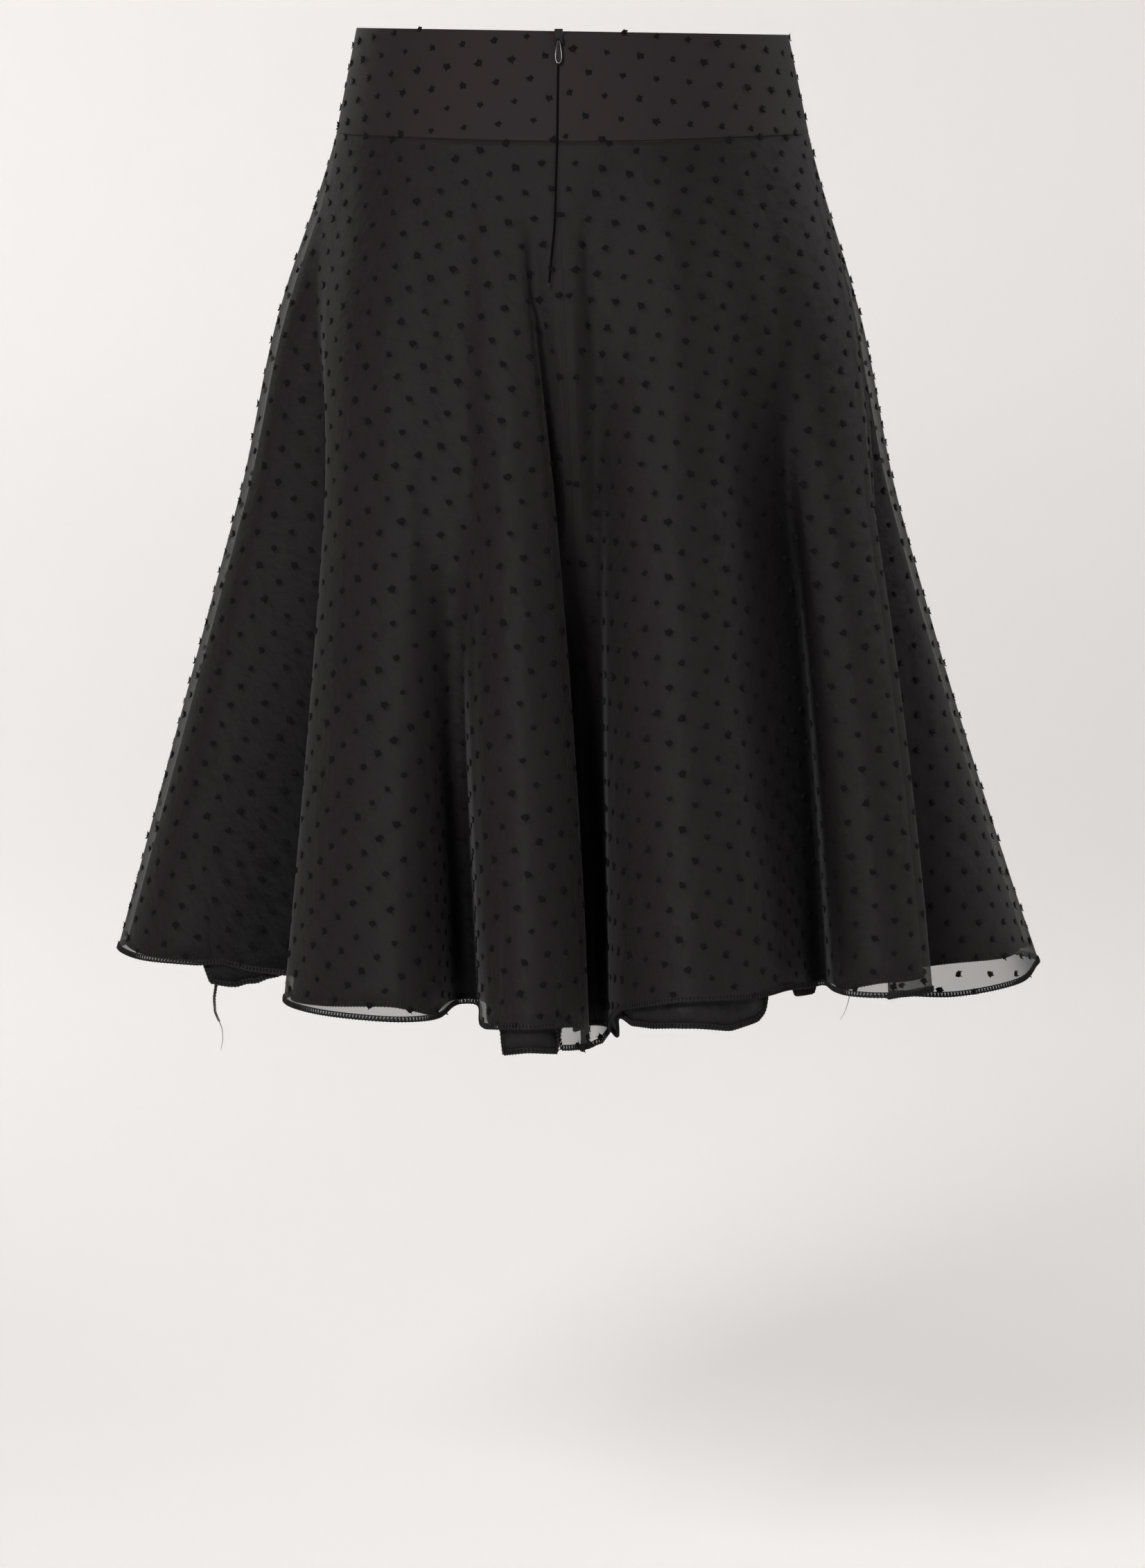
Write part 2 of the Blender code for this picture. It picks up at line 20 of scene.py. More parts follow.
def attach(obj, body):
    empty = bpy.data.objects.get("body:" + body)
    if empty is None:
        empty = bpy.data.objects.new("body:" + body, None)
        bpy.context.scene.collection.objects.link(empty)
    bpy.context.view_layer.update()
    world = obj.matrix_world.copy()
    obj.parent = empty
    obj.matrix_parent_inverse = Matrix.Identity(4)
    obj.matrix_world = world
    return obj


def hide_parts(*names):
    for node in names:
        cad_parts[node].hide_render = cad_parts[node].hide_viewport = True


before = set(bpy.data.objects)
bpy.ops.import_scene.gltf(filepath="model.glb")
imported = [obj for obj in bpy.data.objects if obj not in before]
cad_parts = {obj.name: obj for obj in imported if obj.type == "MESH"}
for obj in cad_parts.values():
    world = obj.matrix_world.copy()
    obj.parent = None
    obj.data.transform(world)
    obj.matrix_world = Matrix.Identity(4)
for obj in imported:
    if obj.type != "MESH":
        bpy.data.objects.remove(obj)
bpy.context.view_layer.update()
MM = 0.001
print("nodes:", sorted(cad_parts))

# %% [markdown]
# The camera stands behind the wearer at waist height, 3.6 m away, and looks down a little, as
# in the photograph. A long lens keeps the skirt's outline free of strong perspective. The
# photograph is 1652 by 2263 pixels, and the sensor's long side stands for its height.

# %% Camera
PHOTO_HEIGHT = 2263
FOCAL_PIXELS = 7933
CAMERA_DISTANCE = 3.6
CAMERA_PITCH_DEG = 7.8
SENSOR = 36.0

camera_data = bpy.data.cameras.new("camera")
camera_data.sensor_width = SENSOR
camera_data.sensor_height = SENSOR
camera_data.sensor_fit = "AUTO"
camera_data.lens = FOCAL_PIXELS * SENSOR / PHOTO_HEIGHT
camera = bpy.data.objects.new("camera", camera_data)
camera.location = (0.0, -CAMERA_DISTANCE, 0.0)
camera.rotation_euler = (math.radians(90.0 - CAMERA_PITCH_DEG), 0.0, 0.0)
bpy.context.scene.collection.objects.link(camera)
bpy.context.scene.camera = camera
print("lens in mm:", round(camera_data.lens, 1))

# %% [markdown]
# The skirt's form is a set of tracks that run down the cloth from the waist seam to the hem.
# Each fold has a crest between two valleys, and its row in the table gives where its sides,
# crest and valley lie at the hem. The same table shaped the solids, so the shells below lie on
# them. The steps between the tracks are finer here. Where the photograph asks for it the hem
# hangs lower or higher than the solids' hem, by a few centimetres at most.

# %% The skirt's sizes and its table of folds
WAIST_HALF_WIDTH, WAIST_HALF_DEPTH = 0.1400, 0.1000
SEAM_HALF_WIDTH, SEAM_HALF_DEPTH = 0.1535, 0.1180
SEAM_LEVEL = -0.0660
SEAM_DIP_AT_BACK = 0.0026
WAIST_TILT = -0.016
HEM_LEVEL = -0.6100
HIP_SWELL, HIP_END = 0.0065, 0.45
SEAM_GAP = 0.0003
LINING_TOP_GAP = 0.0010
LINING_INSET_AT_SEAM, LINING_INSET, LINING_INSET_FULL = 0.0016, 0.0050, 0.10
BULGE = 0.16
CREST_SPREAD = 0.35
VALLEY_WIDTH, VALLEY_SHARE, VALLEY_HALF_DEG = 0.012, 0.35, 1.0
VALLEY_OUTER_SHARE = 1 / 6
MITRE_LEAST = 0.6
ROW_CROWDING = 1.3

ZIP_DEG = -3.6
ZIP_TROUGH_DEG = 7.2
ZIP_LINING = 9.0
ZIP_OUTER_SHARE = 0.35
# The tracks at the zip: side, place from the valley's middle in millimetres, onset and full
ZIP_MARKS = (
    ("zip_trough_left", -1.0, -8, -12, 0.00, 0.45),
    ("zip_left", -0.38, -4, 0, 0.16, 0.55),
    ("zip", 0.0, 0, 3, 0.16, 0.55),
    ("zip_right", 0.38, 4, 0, 0.16, 0.55),
    ("zip_trough_right", 1.0, 9, -12, 0.00, 0.45),
)

# One row for each fold, from the zip round to the right. Places are at the hem, in millimetres,
# angles are on the waist seam, and onset and full are the valley's, as shares of the length.
FOLD_COLUMNS = (
    "name left_x left_y crest_x crest_y right_x right_y valley_x valley_y"
    " crest_deg valley_deg onset full lean_left lean_right lean_valley"
).split()
FOLD_ROWS = (
    ("fold_4", 24, -176, 70, -247, 136, -188, 157, -128, 24, 44, 0.00, 0.60, -3, -4, 6),
    ("fold_5", 167, -154, 194, -183, 229, -152, 205, -113, 62, 80, 0.26, 0.80, 4, 10, 9),
    ("flare_right", 246, -94, 307, -6, 302, 30, 238, 60, 89, 103, 0.20, 0.80, -5, -10, -6),
    ("front_a", 252, 86, 276, 120, 246, 153, 184, 136, 113, 125, 0.10, 0.60, 0, 0, 0),
    ("front_b", 181, 174, 156, 229, 106, 224, 84, 148, 138, 153, 0.05, 0.55, 0, 0, 0),
    ("front_c", 62, 200, 12, 254, -42, 220, -63, 140, 174, 195, 0.10, 0.65, 0, 0, 0),
    ("front_d", -86, 200, -124, 238, -162, 207, -170, 146, 210, 225, 0.00, 0.55, 0, 0, 0),
    ("front_e", -206, 157, -248, 156, -256, 106, -226, 62, 239, 252, 0.10, 0.65, 0, 0, 0),
    ("flare_left", -286, 42, -301, 0, -244, -57, -161, -92, 269, 279, 0.00, 0.35, 0, 0, -2),
    ("fold_2", -184, -144, -112, -224, -84, -198, -67, -137, 309, 331, 0.30, 0.90, 3, -4, -5),
    ("fold_3", -57, -200, -28, -244, 10, -208, 14, -122, 341, 356.4, 0.00, 0.45, -3, 6, 0),
)
# How far each fold's hem hangs below HEM_LEVEL, and its lining's hem below that, in millimetres
HEM_COLUMNS = (
    "drop_left drop_crest drop_right drop_valley lining_left lining_crest lining_right"
).split()
HEM_ROWS = {
    "fold_4": (4, -15, -12, -4, 0, -3, -1),
    "fold_5": (-5, -6, -5, 6, -1, -8, -9),
    "flare_right": (9, 4, 3, 0, -20, -13, -6),
    "front_a": (2, 3, 1, -3, -6, -7, -3),
    "front_b": (-2, -4, -1, 2, 4, 6, 3),
    "front_c": (3, 4, 6, 6, 7, 9, 6),
    "front_d": (-1, -3, -2, 2, -3, -6, -4),
    "front_e": (1, 3, 0, -2, 2, 4, -2),
    "flare_left": (-5, -6, -5, -1, -3, -3, -1),
    "fold_2": (2, 2, 4, 6, -1, -8, -2),
    "fold_3": (9, 3, 5, 15, -2, -2, 3),
}
FOLDS = [
    dict(zip(FOLD_COLUMNS, row)) | dict(zip(HEM_COLUMNS, HEM_ROWS[row[0]])) for row in FOLD_ROWS
]
print("folds:", len(FOLDS))

# %% [markdown]
# Each fold becomes five tracks over its outer side and two along the bottom of its valley. At
# the zip the cloth has a flat strip between two small troughs, with five tracks of its own.

# %% Tracks down the cloth
def smooth_share(value, start, end):
    """0 before start, 1 after end, and a smooth rise between them."""
    share = np.clip((np.asarray(value, float) - start) / (end - start), 0.0, 1.0)
    return share * share * (3.0 - 2.0 * share)


def on_ellipse(degrees, half_width, half_depth):
    """A point of the plan. 0 degrees is the centre back, 90 the right of the photograph."""
    angle = np.radians(degrees)
    return np.stack((half_width * np.sin(angle), -half_depth * np.cos(angle)), axis=-1)


def seam_level(degrees):
    return SEAM_LEVEL - SEAM_DIP_AT_BACK * np.maximum(0.0, np.cos(np.radians(degrees))) ** 4


def mark(name, degrees, hem, drop, lining, lean=0.0, outer_hem=None, onset=-1.0, full=-0.5):
    """One track down the cloth, from its place on the waist seam to its place at the hem."""
    return {
        "name": name,
        "degrees": degrees,
        "hem": hem,
        "outer_hem": hem if outer_hem is None else outer_hem,
        "onset": onset,
        "full": full,
        "lean": lean * MM,
        "drop": drop * MM,
        "lining": lining * MM,
    }


def bulged(a, b):
    """The middle of a and b, moved out on the right of the way from a to b."""
    along = b - a
    return (a + b) / 2 + np.array((along[1], -along[0])) * BULGE


def place(fold, name):
    return np.array((fold[f"{name}_x"], fold[f"{name}_y"])) * MM


def across_fold(fold, name):
    """Five values from a fold's left side over its crest to its right side."""
    known = [fold[f"{name}_{side}"] for side in ("left", "crest", "right")]
    return np.interp((0.0, 0.5, 1.0, 1.5, 2.0), (0.0, 1.0, 2.0), known)


def crest_marks(fold, start_deg, end_deg):
    """The five tracks on the outer side of a fold that lies between two valleys."""
    crest_deg = fold["crest_deg"]
    left_deg = start_deg + CREST_SPREAD * (crest_deg - start_deg)
    right_deg = end_deg + CREST_SPREAD * (crest_deg - end_deg)
    left, crest, right = (place(fold, name) for name in ("left", "crest", "right"))
    angles = (left_deg, (left_deg + crest_deg) / 2, crest_deg, (crest_deg + right_deg) / 2, right_deg)
    hems = (left, bulged(left, crest), crest, bulged(crest, right), right)
    names = ("left", "rise", "crest", "fall", "right")
    leans = np.linspace(fold["lean_left"], fold["lean_right"], len(names))
    columns = zip(names, angles, hems, across_fold(fold, "drop"), across_fold(fold, "lining"), leans)
    return [mark(f"{fold['name']}_{name}", *rest) for name, *rest in columns]


def valley_marks(fold, after):
    """The two tracks along the bottom of the valley on a fold's right side."""
    right, left = place(fold, "right"), place(after, "left")
    across = left - right
    distance = float(np.hypot(*across))
    half = across / distance * min(VALLEY_WIDTH, VALLEY_SHARE * distance) / 2
    lining = (fold["lining_right"] + after["lining_left"]) / 2
    return [
        mark(f"{fold['name']}_valley_{name}", fold["valley_deg"] + side * VALLEY_HALF_DEG,
             place(fold, "valley") + half * side, fold["drop_valley"], lining,
             fold["lean_valley"], (right + left) / 2 + across * side * VALLEY_OUTER_SHARE,
             fold["onset"], fold["full"])
        for name, side in (("in", -1.0), ("out", 1.0))
    ]


def zip_marks(fold, after):
    """The tracks of the centre back: a trough on each side of the flat strip at the zip."""
    right, left = place(fold, "right"), place(after, "left")
    bottom = place(fold, "valley")
    return [
        mark(name, ZIP_DEG + side * ZIP_TROUGH_DEG, bottom + np.array((x, y)) * MM,
             fold["drop_valley"], ZIP_LINING, 0.0,
             (right + left) / 2 + (left - right) * side * ZIP_OUTER_SHARE, onset, full)
        for name, side, x, y, onset, full in ZIP_MARKS
    ]


def fold_marks():
    """All tracks in order, from the zip round to the right and back to the zip."""
    around = zip_marks(FOLDS[-1], FOLDS[0])
    middle = len(around) // 2
    marks = around[middle:]
    for index, fold in enumerate(FOLDS):
        start_deg = FOLDS[index - 1]["valley_deg"]
        end_deg = fold["valley_deg"]
        if index == 0:
            start_deg += ZIP_TROUGH_DEG - 360.0
        if index == len(FOLDS) - 1:
            end_deg -= ZIP_TROUGH_DEG
        marks += crest_marks(fold, start_deg, end_deg)
        if index < len(FOLDS) - 1:
            marks += valley_marks(fold, FOLDS[index + 1])
    for track in around[:middle]:
        track["degrees"] += 360.0
    return marks + around[:middle]


MARKS = fold_marks()
TRACK = {key: np.array([track[key] for track in MARKS]) for key in MARKS[0] if key != "name"}
print("tracks:", len(MARKS))

# %% [markdown]
# The cloth's grid has a ring of points for each level. A ring goes through all tracks on a
# closed smooth curve, so round folds stay round. The lining is the same ring moved inwards,
# which keeps the two layers apart however deep a fold is.

# %% Rings of points
def track_points(shares):
    """Points of the chiffon, for an array of shares with one row for each level."""
    taken = np.stack(
        [smooth_share(shares[:, i], t["onset"], t["full"]) for i, t in enumerate(MARKS)], axis=1
    )[..., None]
    hem = TRACK["outer_hem"] + (TRACK["hem"] - TRACK["outer_hem"]) * taken
    seam = on_ellipse(TRACK["degrees"], SEAM_HALF_WIDTH, SEAM_HALF_DEPTH)
    plan = seam + (hem - seam) * shares[..., None]
    swell = HIP_SWELL * np.sin(math.pi * np.minimum(shares / HIP_END, 1.0)) ** 2
    plan = plan + plan / np.linalg.norm(plan, axis=2)[..., None] * swell[..., None]
    plan[..., 0] += TRACK["lean"] * 4.0 * shares * (1.0 - shares)
    top = seam_level(TRACK["degrees"]) - SEAM_GAP
    low = HEM_LEVEL - TRACK["drop"]
    return np.concatenate((plan, (top + (low - top) * shares)[..., None]), axis=2)


def curve_between(points, steps):
    """Closed smooth rings through rows of points, with a number of steps for each stretch."""
    p0, p1, p2, p3 = (np.roll(points, -shift, axis=1) for shift in (-1, 0, 1, 2))
    gaps = [np.sqrt(np.linalg.norm((b - a)[..., :2], axis=2))[..., None]
            for a, b in ((p0, p1), (p1, p2), (p2, p3))]
    t1 = gaps[0]
    t2 = t1 + gaps[1]
    t3 = t2 + gaps[2]
    made = []
    for step in range(steps):
        t = t1 + (t2 - t1) * step / steps
        a1 = p0 + (p1 - p0) * t / t1
        a2 = p1 + (p2 - p1) * (t - t1) / (t2 - t1)
        a3 = p2 + (p3 - p2) * (t - t2) / (t3 - t2)
        b1 = a1 + (a2 - a1) * t / t2
        b2 = a2 + (a3 - a2) * (t - t1) / (t3 - t1)
        made.append(b1 + (b2 - b1) * (t - t1) / (t2 - t1))
    return np.stack(made, axis=2).reshape(len(points), -1, 3)


def inward(rings, distance):
    """Rings moved in by a distance for each row, with their corners mitred."""
    plan = rings[..., :2]
    along = np.roll(plan, -1, axis=1) - plan
    along /= np.linalg.norm(along, axis=2)[..., None]
    inside = np.stack((-along[..., 1], along[..., 0]), axis=-1)
    halfway = inside + np.roll(inside, 1, axis=1)
    halfway /= np.linalg.norm(halfway, axis=2)[..., None]
    square = np.maximum((halfway * inside).sum(axis=2), MITRE_LEAST)[..., None]
    moved = rings.copy()
    moved[..., :2] = plan + halfway / square * np.asarray(distance)[:, None, None]
    return moved


SKIRT_ROWS, SKIRT_STEPS = 110, 10
LINING_ROWS, LINING_STEPS = 52, 14


def row_shares(count):
    return (np.arange(count + 1) / count) ** ROW_CROWDING


def skirt_rings():
    shares = np.repeat(row_shares(SKIRT_ROWS)[:, None], len(MARKS), axis=1)
    return curve_between(track_points(shares), SKIRT_STEPS)


def lining_rings():
    own = row_shares(LINING_ROWS)[:, None]
    top = seam_level(TRACK["degrees"]) - SEAM_GAP
    length = top - HEM_LEVEL + TRACK["drop"]
    shares = (LINING_TOP_GAP + (length + TRACK["lining"] - LINING_TOP_GAP) * own) / length
    inset = LINING_INSET_AT_SEAM + (LINING_INSET - LINING_INSET_AT_SEAM) * smooth_share(
        own[:, 0], 0.0, LINING_INSET_FULL
    )
    return inward(curve_between(track_points(shares), LINING_STEPS), inset)


skirt = skirt_rings()
lining = lining_rings()
print("chiffon grid:", skirt.shape[:2], "lining grid:", lining.shape[:2])

# %% [markdown]
# Real chiffon isn't as smooth as a drawn surface. It carries long soft creases from the way it
# hangs, short ones where it was sat on or folded, and a pucker where the hem's thread was
# pulled tight. Each crease is one row of a table: a line on the skirt seen from behind or from
# the front, with a depth and a width. A minus depth is a trough and a plus depth is a ridge.
# A crease whose last column is 1 runs out over the hem, and the others fade at both ends.

# %% Creases laid one by one
CREASE_COLUMNS = "side depth width x0 z0 x1 z1 x2 z2 to_hem".split()
CREASE_ROWS = (
    ("back", 2.2, 3.0, -219, -425, -225, -495, -245, -572, 0),
    ("back", -2.4, 4.5, -211, -440, -216, -505, -231, -590, 0),
    ("back", 1.3, 2.4, -257, -528, -255, -545, -252, -572, 0),
    ("back", -4.2, 4.2, -28, -108, -24, -158, -12, -245, 0),
    ("back", 1.6, 5.0, -36, -120, -32, -165, -22, -240, 0),
    ("back", -3.8, 3.4, 8, -103, 10, -158, 19, -232, 0),
    ("back", 1.4, 5.0, 18, -110, 20, -160, 30, -230, 0),
    ("back", -1.3, 1.0, -10, -58, -11, -140, -16, -215, 0),
    ("back", 0.7, 1.8, -13, -58, -14, -140, -19, -205, 0),
    ("back", -1.5, 9.0, -118, -180, -128, -300, -140, -420, 0),
    ("back", 1.2, 8.0, -96, -150, -104, -260, -112, -330, 0),
    ("back", -1.4, 7.0, -62, -330, -66, -430, -66, -540, 0),
    ("back", 1.0, 6.0, -40, -240, -42, -330, -40, -440, 0),
    ("back", -1.2, 8.0, 40, -200, 52, -320, 60, -430, 0),
    ("back", 1.1, 7.0, 78, -180, 92, -300, 104, -420, 0),
    ("back", -1.3, 7.0, 96, -330, 112, -450, 118, -560, 0),
    ("back", 1.0, 8.0, 150, -200, 172, -330, 190, -440, 0),
    ("back", -1.1, 7.0, 206, -330, 224, -430, 240, -520, 0),
    ("back", 1.2, 9.0, -170, -200, -190, -330, -206, -430, 0),
    ("front", -1.5, 9.0, -120, -190, -134, -320, -150, -450, 0),
    ("front", 1.2, 8.0, -30, -160, -34, -280, -30, -390, 0),
    ("front", -1.4, 7.0, 60, -260, 72, -380, 80, -520, 0),
    ("front", 1.1, 7.0, 130, -180, 150, -300, 170, -430, 0),
    ("front", -1.2, 8.0, 190, -300, 214, -430, 232, -540, 0),
    ("front", 1.3, 6.0, -210, -420, -224, -500, -240, -580, 0),
    ("back", -3.2, 3.6, -208, -545, -217, -574, -226, -604, 1),
    ("back", 3.0, 3.2, -218, -545, -222, -574, -229, -604, 1),
    ("back", -2.6, 3.0, -240, -550, -235, -574, -230, -604, 1),
    ("back", 2.0, 2.6, -198, -562, -208, -582, -220, -604, 1),
    ("back", -1.8, 2.4, -250, -560, -244, -580, -238, -604, 1),
)
CREASES = [dict(zip(CREASE_COLUMNS, row)) for row in CREASE_ROWS]
# Shares of a crease's length where it has come up and where it starts to fade
CREASE_UP, CREASE_FADE, CREASE_UP_TO_HEM = 0.3, 0.7, 0.6
# A crease shows only where the cloth faces its side by this much or more
CREASE_FACING = (0.1, 0.5)


def normals_of(grid):
    """Unit normals of a closed grid, pointing away from the wearer."""
    down = np.gradient(grid, axis=0)
    along = np.roll(grid, -1, axis=1) - np.roll(grid, 1, axis=1)
    normals = np.cross(down, along)
    return normals / np.linalg.norm(normals, axis=2)[..., None]


def crease_depth(grid, normals, crease):
    """How far one crease moves each point, in metres."""
    facing = normals[..., 1] * (-1.0 if crease["side"] == "back" else 1.0)
    x, z = grid[..., 0] / MM, grid[..., 2] / MM
    levels = [crease["z0"], crease["z1"], crease["z2"]]
    places = [crease["x0"], crease["x1"], crease["x2"]]
    middle = np.interp(-z, [-level for level in levels], places)
    share = (levels[0] - z) / (levels[0] - levels[2])
    taper = smooth_share(share, 0.0, CREASE_UP) * (1.0 - smooth_share(share, CREASE_FADE, 1.0))
    if crease["to_hem"]:
        taper = smooth_share(share, 0.0, CREASE_UP_TO_HEM)
    profile = np.exp(-(((x - middle) / crease["width"]) ** 2))
    return crease["depth"] * MM * profile * taper * smooth_share(facing, *CREASE_FACING)


def creased(grid):
    normals = normals_of(grid)
    depth = sum(crease_depth(grid, normals, crease) for crease in CREASES)
    return grid + normals * depth[..., None]


PULLED_X, PULLED_WIDTH, PULLED_RISE = -0.228, 0.011, 0.003
PULLED_FROM, PULLED_REACH = -0.560, 0.045


def pulled_hem(grid):
    """Lifts the hem where its thread is pulled tight, on the left flare."""
    nearness = np.exp(-(((grid[..., 0] - PULLED_X) / PULLED_WIDTH) ** 2)) * (grid[..., 1] < 0.0)
    lift = PULLED_RISE * nearness * smooth_share(PULLED_FROM - grid[..., 2], 0.0, PULLED_REACH)
    moved = grid.copy()
    moved[..., 2] += lift
    return moved


skirt = pulled_hem(creased(skirt))
print("creases:", len(CREASES))

# %% [markdown]
# Neither hem is even. At the back the lining hangs out in four tabs with steep sides, because
# it is folded over on itself there, and at the zip the chiffon hangs in a loop below the lining.
# Each is a line of places on the skirt seen from behind, with how much lower the hem hangs.

# %% Tabs that hang below the hem
TAB_RISE = 0.075
# Pairs of place and extra length, in millimetres, from the left of the photograph to the right
LINING_TABS = (
    (-240, 0), (-237, 13), (-220, 14), (-217, 11), (-204, 9), (-198, 5), (-190, 3), (-185, 0),
    (-45.5, 0), (-43.5, 19), (-28, 18), (-9, 17), (-7, 0),
    (22, 0), (25, 2), (31, 6), (37, 12), (50, 17), (70, 21), (98, 23), (108, 20), (116, 18),
    (121, 13), (123, 0),
    (140, 0), (142, 6), (155, 7), (157, 0),
)
CHIFFON_TABS = ((-10, 0), (-8, 14), (2, 15), (12, 17), (19, 14), (25, 5), (31, 0))
INNER_FROM, INNER_TO, INNER_EXTRA = -0.185, -0.145, 0.35


def with_tabs(grid, tabs, inner_extra=0.0):
    """Lets the hem hang lower at each tab, by stretching the cloth just above it."""
    places, extra = zip(*tabs)
    longer = np.interp(grid[..., 0] / MM, places, extra) * MM * (grid[..., 1] < 0.0)
    longer *= 1.0 + inner_extra * smooth_share(grid[..., 1], INNER_FROM, INNER_TO)
    low = grid[-1:, :, 2]
    moved = grid.copy()
    moved[..., 2] -= longer * smooth_share(grid[..., 2], low + TAB_RISE, low)
    return moved


skirt = with_tabs(skirt, CHIFFON_TABS, INNER_EXTRA)
lining = with_tabs(lining, LINING_TABS)
print("lowest points of chiffon and lining:", skirt[..., 2].min(), lining[..., 2].min())

# %% [markdown]
# A pattern that belongs to the cloth has to follow its cut. Each panel is a sector of a circle,
# so a point's distance down the cloth and its distance along its ring give its place on the
# flat piece. The warp lies askew to the seams, by a different way on each half, and the dots'
# rows follow it. The same flat places, in metres, are the panel's UV map.

# %% The flat cut
CUT_RADIUS = 0.242
MARK_NAMES = [track["name"] for track in MARKS]
SIDE_RIGHT = MARK_NAMES.index("flare_right_right") + 0.5
SIDE_LEFT = MARK_NAMES.index("flare_left_left") - 0.5


def panel_between(grid, steps, first, last):
    """The columns of a closed grid from one track to another. Panels meet on a seam's line."""
    columns = np.arange(round(first * steps), round(last * steps) + 1) % grid.shape[1]
    return grid[:, columns]


def flat_cut(panel, grain_deg, anchor):
    """Where each point lay on the flat cloth, with Y along the warp. anchor is a share across."""
    down = np.linalg.norm(np.diff(panel, axis=0), axis=2).mean(axis=1)
    along = np.linalg.norm(np.diff(panel, axis=1), axis=2)
    radius = CUT_RADIUS + np.concatenate(([0.0], np.cumsum(down)))[:, None]
    arc = np.concatenate((np.zeros((len(panel), 1)), np.cumsum(along, axis=1)), axis=1)
    arc = arc - arc[:, [round(anchor * (panel.shape[1] - 1))]]
    angle = arc / radius + math.radians(grain_deg)
    return np.stack((radius * np.sin(angle), -radius * np.cos(angle)), axis=-1)


# Painted shade: the cloth's colour is darkened towards the bottom of each deep fold
SHADE_FROM, SHADE_FULL = 0.018, 0.085
SHADE_REACH = 2.4
# Painted shadow: fold 4 stands before the valley on its right, so that valley and fold 5's left side are
# darkened, from a level down
SHADED_SIDE = (("fold_4_fall", 0.0), ("fold_4_right", 0.5), ("fold_4_valley_in", 1.0),
               ("fold_5_left", 1.0), ("fold_5_rise", 0.25), ("fold_5_crest", 0.0))
SIDE_SHADE_FROM, SIDE_SHADE_FULL = -0.16, -0.34


def fold_shade(grid, steps):
    """Painted shade for each point of a closed grid: 0 on the outside and 1 at the bottom of a deep fold
    or in fold 4's painted shadow.
    """
    radius = np.hypot(grid[..., 0], grid[..., 1])
    reach = round(SHADE_REACH * steps)
    outer = np.max([np.roll(radius, shift, axis=1) for shift in range(-reach, reach + 1)], axis=0)
    deep = smooth_share(outer - radius, SHADE_FROM, SHADE_FULL)
    names, shades = zip(*SHADED_SIDE)
    places = [MARK_NAMES.index(name) * steps for name in names]
    side = np.interp(np.arange(grid.shape[1]), places, shades, left=0.0, right=0.0)
    low = 1.0 - smooth_share(grid[..., 2], SIDE_SHADE_FULL, SIDE_SHADE_FROM)
    return np.maximum(deep, side * low)


def add_mesh(name, points, faces, finish, uv=None, shade=None):
    """A new smooth mesh object from arrays, with a UV map and a painted shade where they are given."""
    mesh = bpy.data.meshes.new(name)
    mesh.from_pydata(points.tolist(), [], faces.tolist())
    if uv is not None:
        layer = mesh.uv_layers.new(name="cut")
        corners = np.empty(len(mesh.loops), np.int32)
        mesh.loops.foreach_get("vertex_index", corners)
        layer.data.foreach_set("uv", uv[corners].astype(np.float32).ravel())
    if shade is not None:
        layer = mesh.attributes.new("fold_shade", "FLOAT", "POINT")
        layer.data.foreach_set("value", shade.astype(np.float32).ravel())
    mesh.materials.append(finish)
    mesh.shade_smooth()
    made = bpy.data.objects.new(name, mesh)
    bpy.context.scene.collection.objects.link(made)
    return made


def grid_faces(rows, columns):
    """Quads over a grid of points, facing out where the grid runs down and to the right."""
    corner = (np.arange(rows - 1)[:, None] * columns + np.arange(columns - 1)).ravel()
    return np.stack((corner, corner + columns, corner + columns + 1, corner + 1), axis=1)


def add_panel(name, panel, flat, finish, shade=None):
    rows, columns = panel.shape[:2]
    faces = grid_faces(rows, columns)
    made = add_mesh(name, panel.reshape(-1, 3), faces, finish, flat.reshape(-1, 2), shade)
    print(name, "quads:", len(made.data.polygons))
    return made


# %% [markdown]
# Chiffon is so thin that the satin below glints through it, and at the hem, where there is no
# lining, the backdrop shows too. The weave is a fine square net, so one node group makes the
# net's threads from the flat cut, and each cloth takes its own thread spacing from it. A second
# group makes the uneven cloudy tone that any worn cloth has.

# %% Node groups
def feed(tree, value, socket):
    """Gives an input its value: another node's socket, or a plain value."""
    if isinstance(value, bpy.types.NodeSocket):
        tree.links.new(value, socket)
    else:
        socket.default_value = value


def fed(tree, made, **values):
    """A node with its named inputs fed. An underscore in a name stands for a space."""
    for label, value in values.items():
        feed(tree, value, made.inputs[label.replace("_", " ")])
    return made


def new_node(tree, kind, **values):
    return fed(tree, tree.nodes.new(kind), **values)


def math_node(tree, operation, *values):
    """The result of a Math node. Each value is a socket or a number."""
    made = tree.nodes.new("ShaderNodeMath")
    made.operation = operation
    for value, socket in zip(values, made.inputs):
        feed(tree, value, socket)
    return made.outputs[0]


def new_group(name, amount, default, outputs):
    """A node group that takes a Vector and one number, with its inputs and its output node."""
    group = bpy.data.node_groups.new(name, "ShaderNodeTree")
    group.interface.new_socket("Vector", in_out="INPUT", socket_type="NodeSocketVector")
    number = group.interface.new_socket(amount, in_out="INPUT", socket_type="NodeSocketFloat")
    number.default_value = default
    for label in outputs:
        group.interface.new_socket(label, in_out="OUTPUT", socket_type="NodeSocketFloat")
    return group, group.nodes.new("NodeGroupInput").outputs, group.nodes.new("NodeGroupOutput")


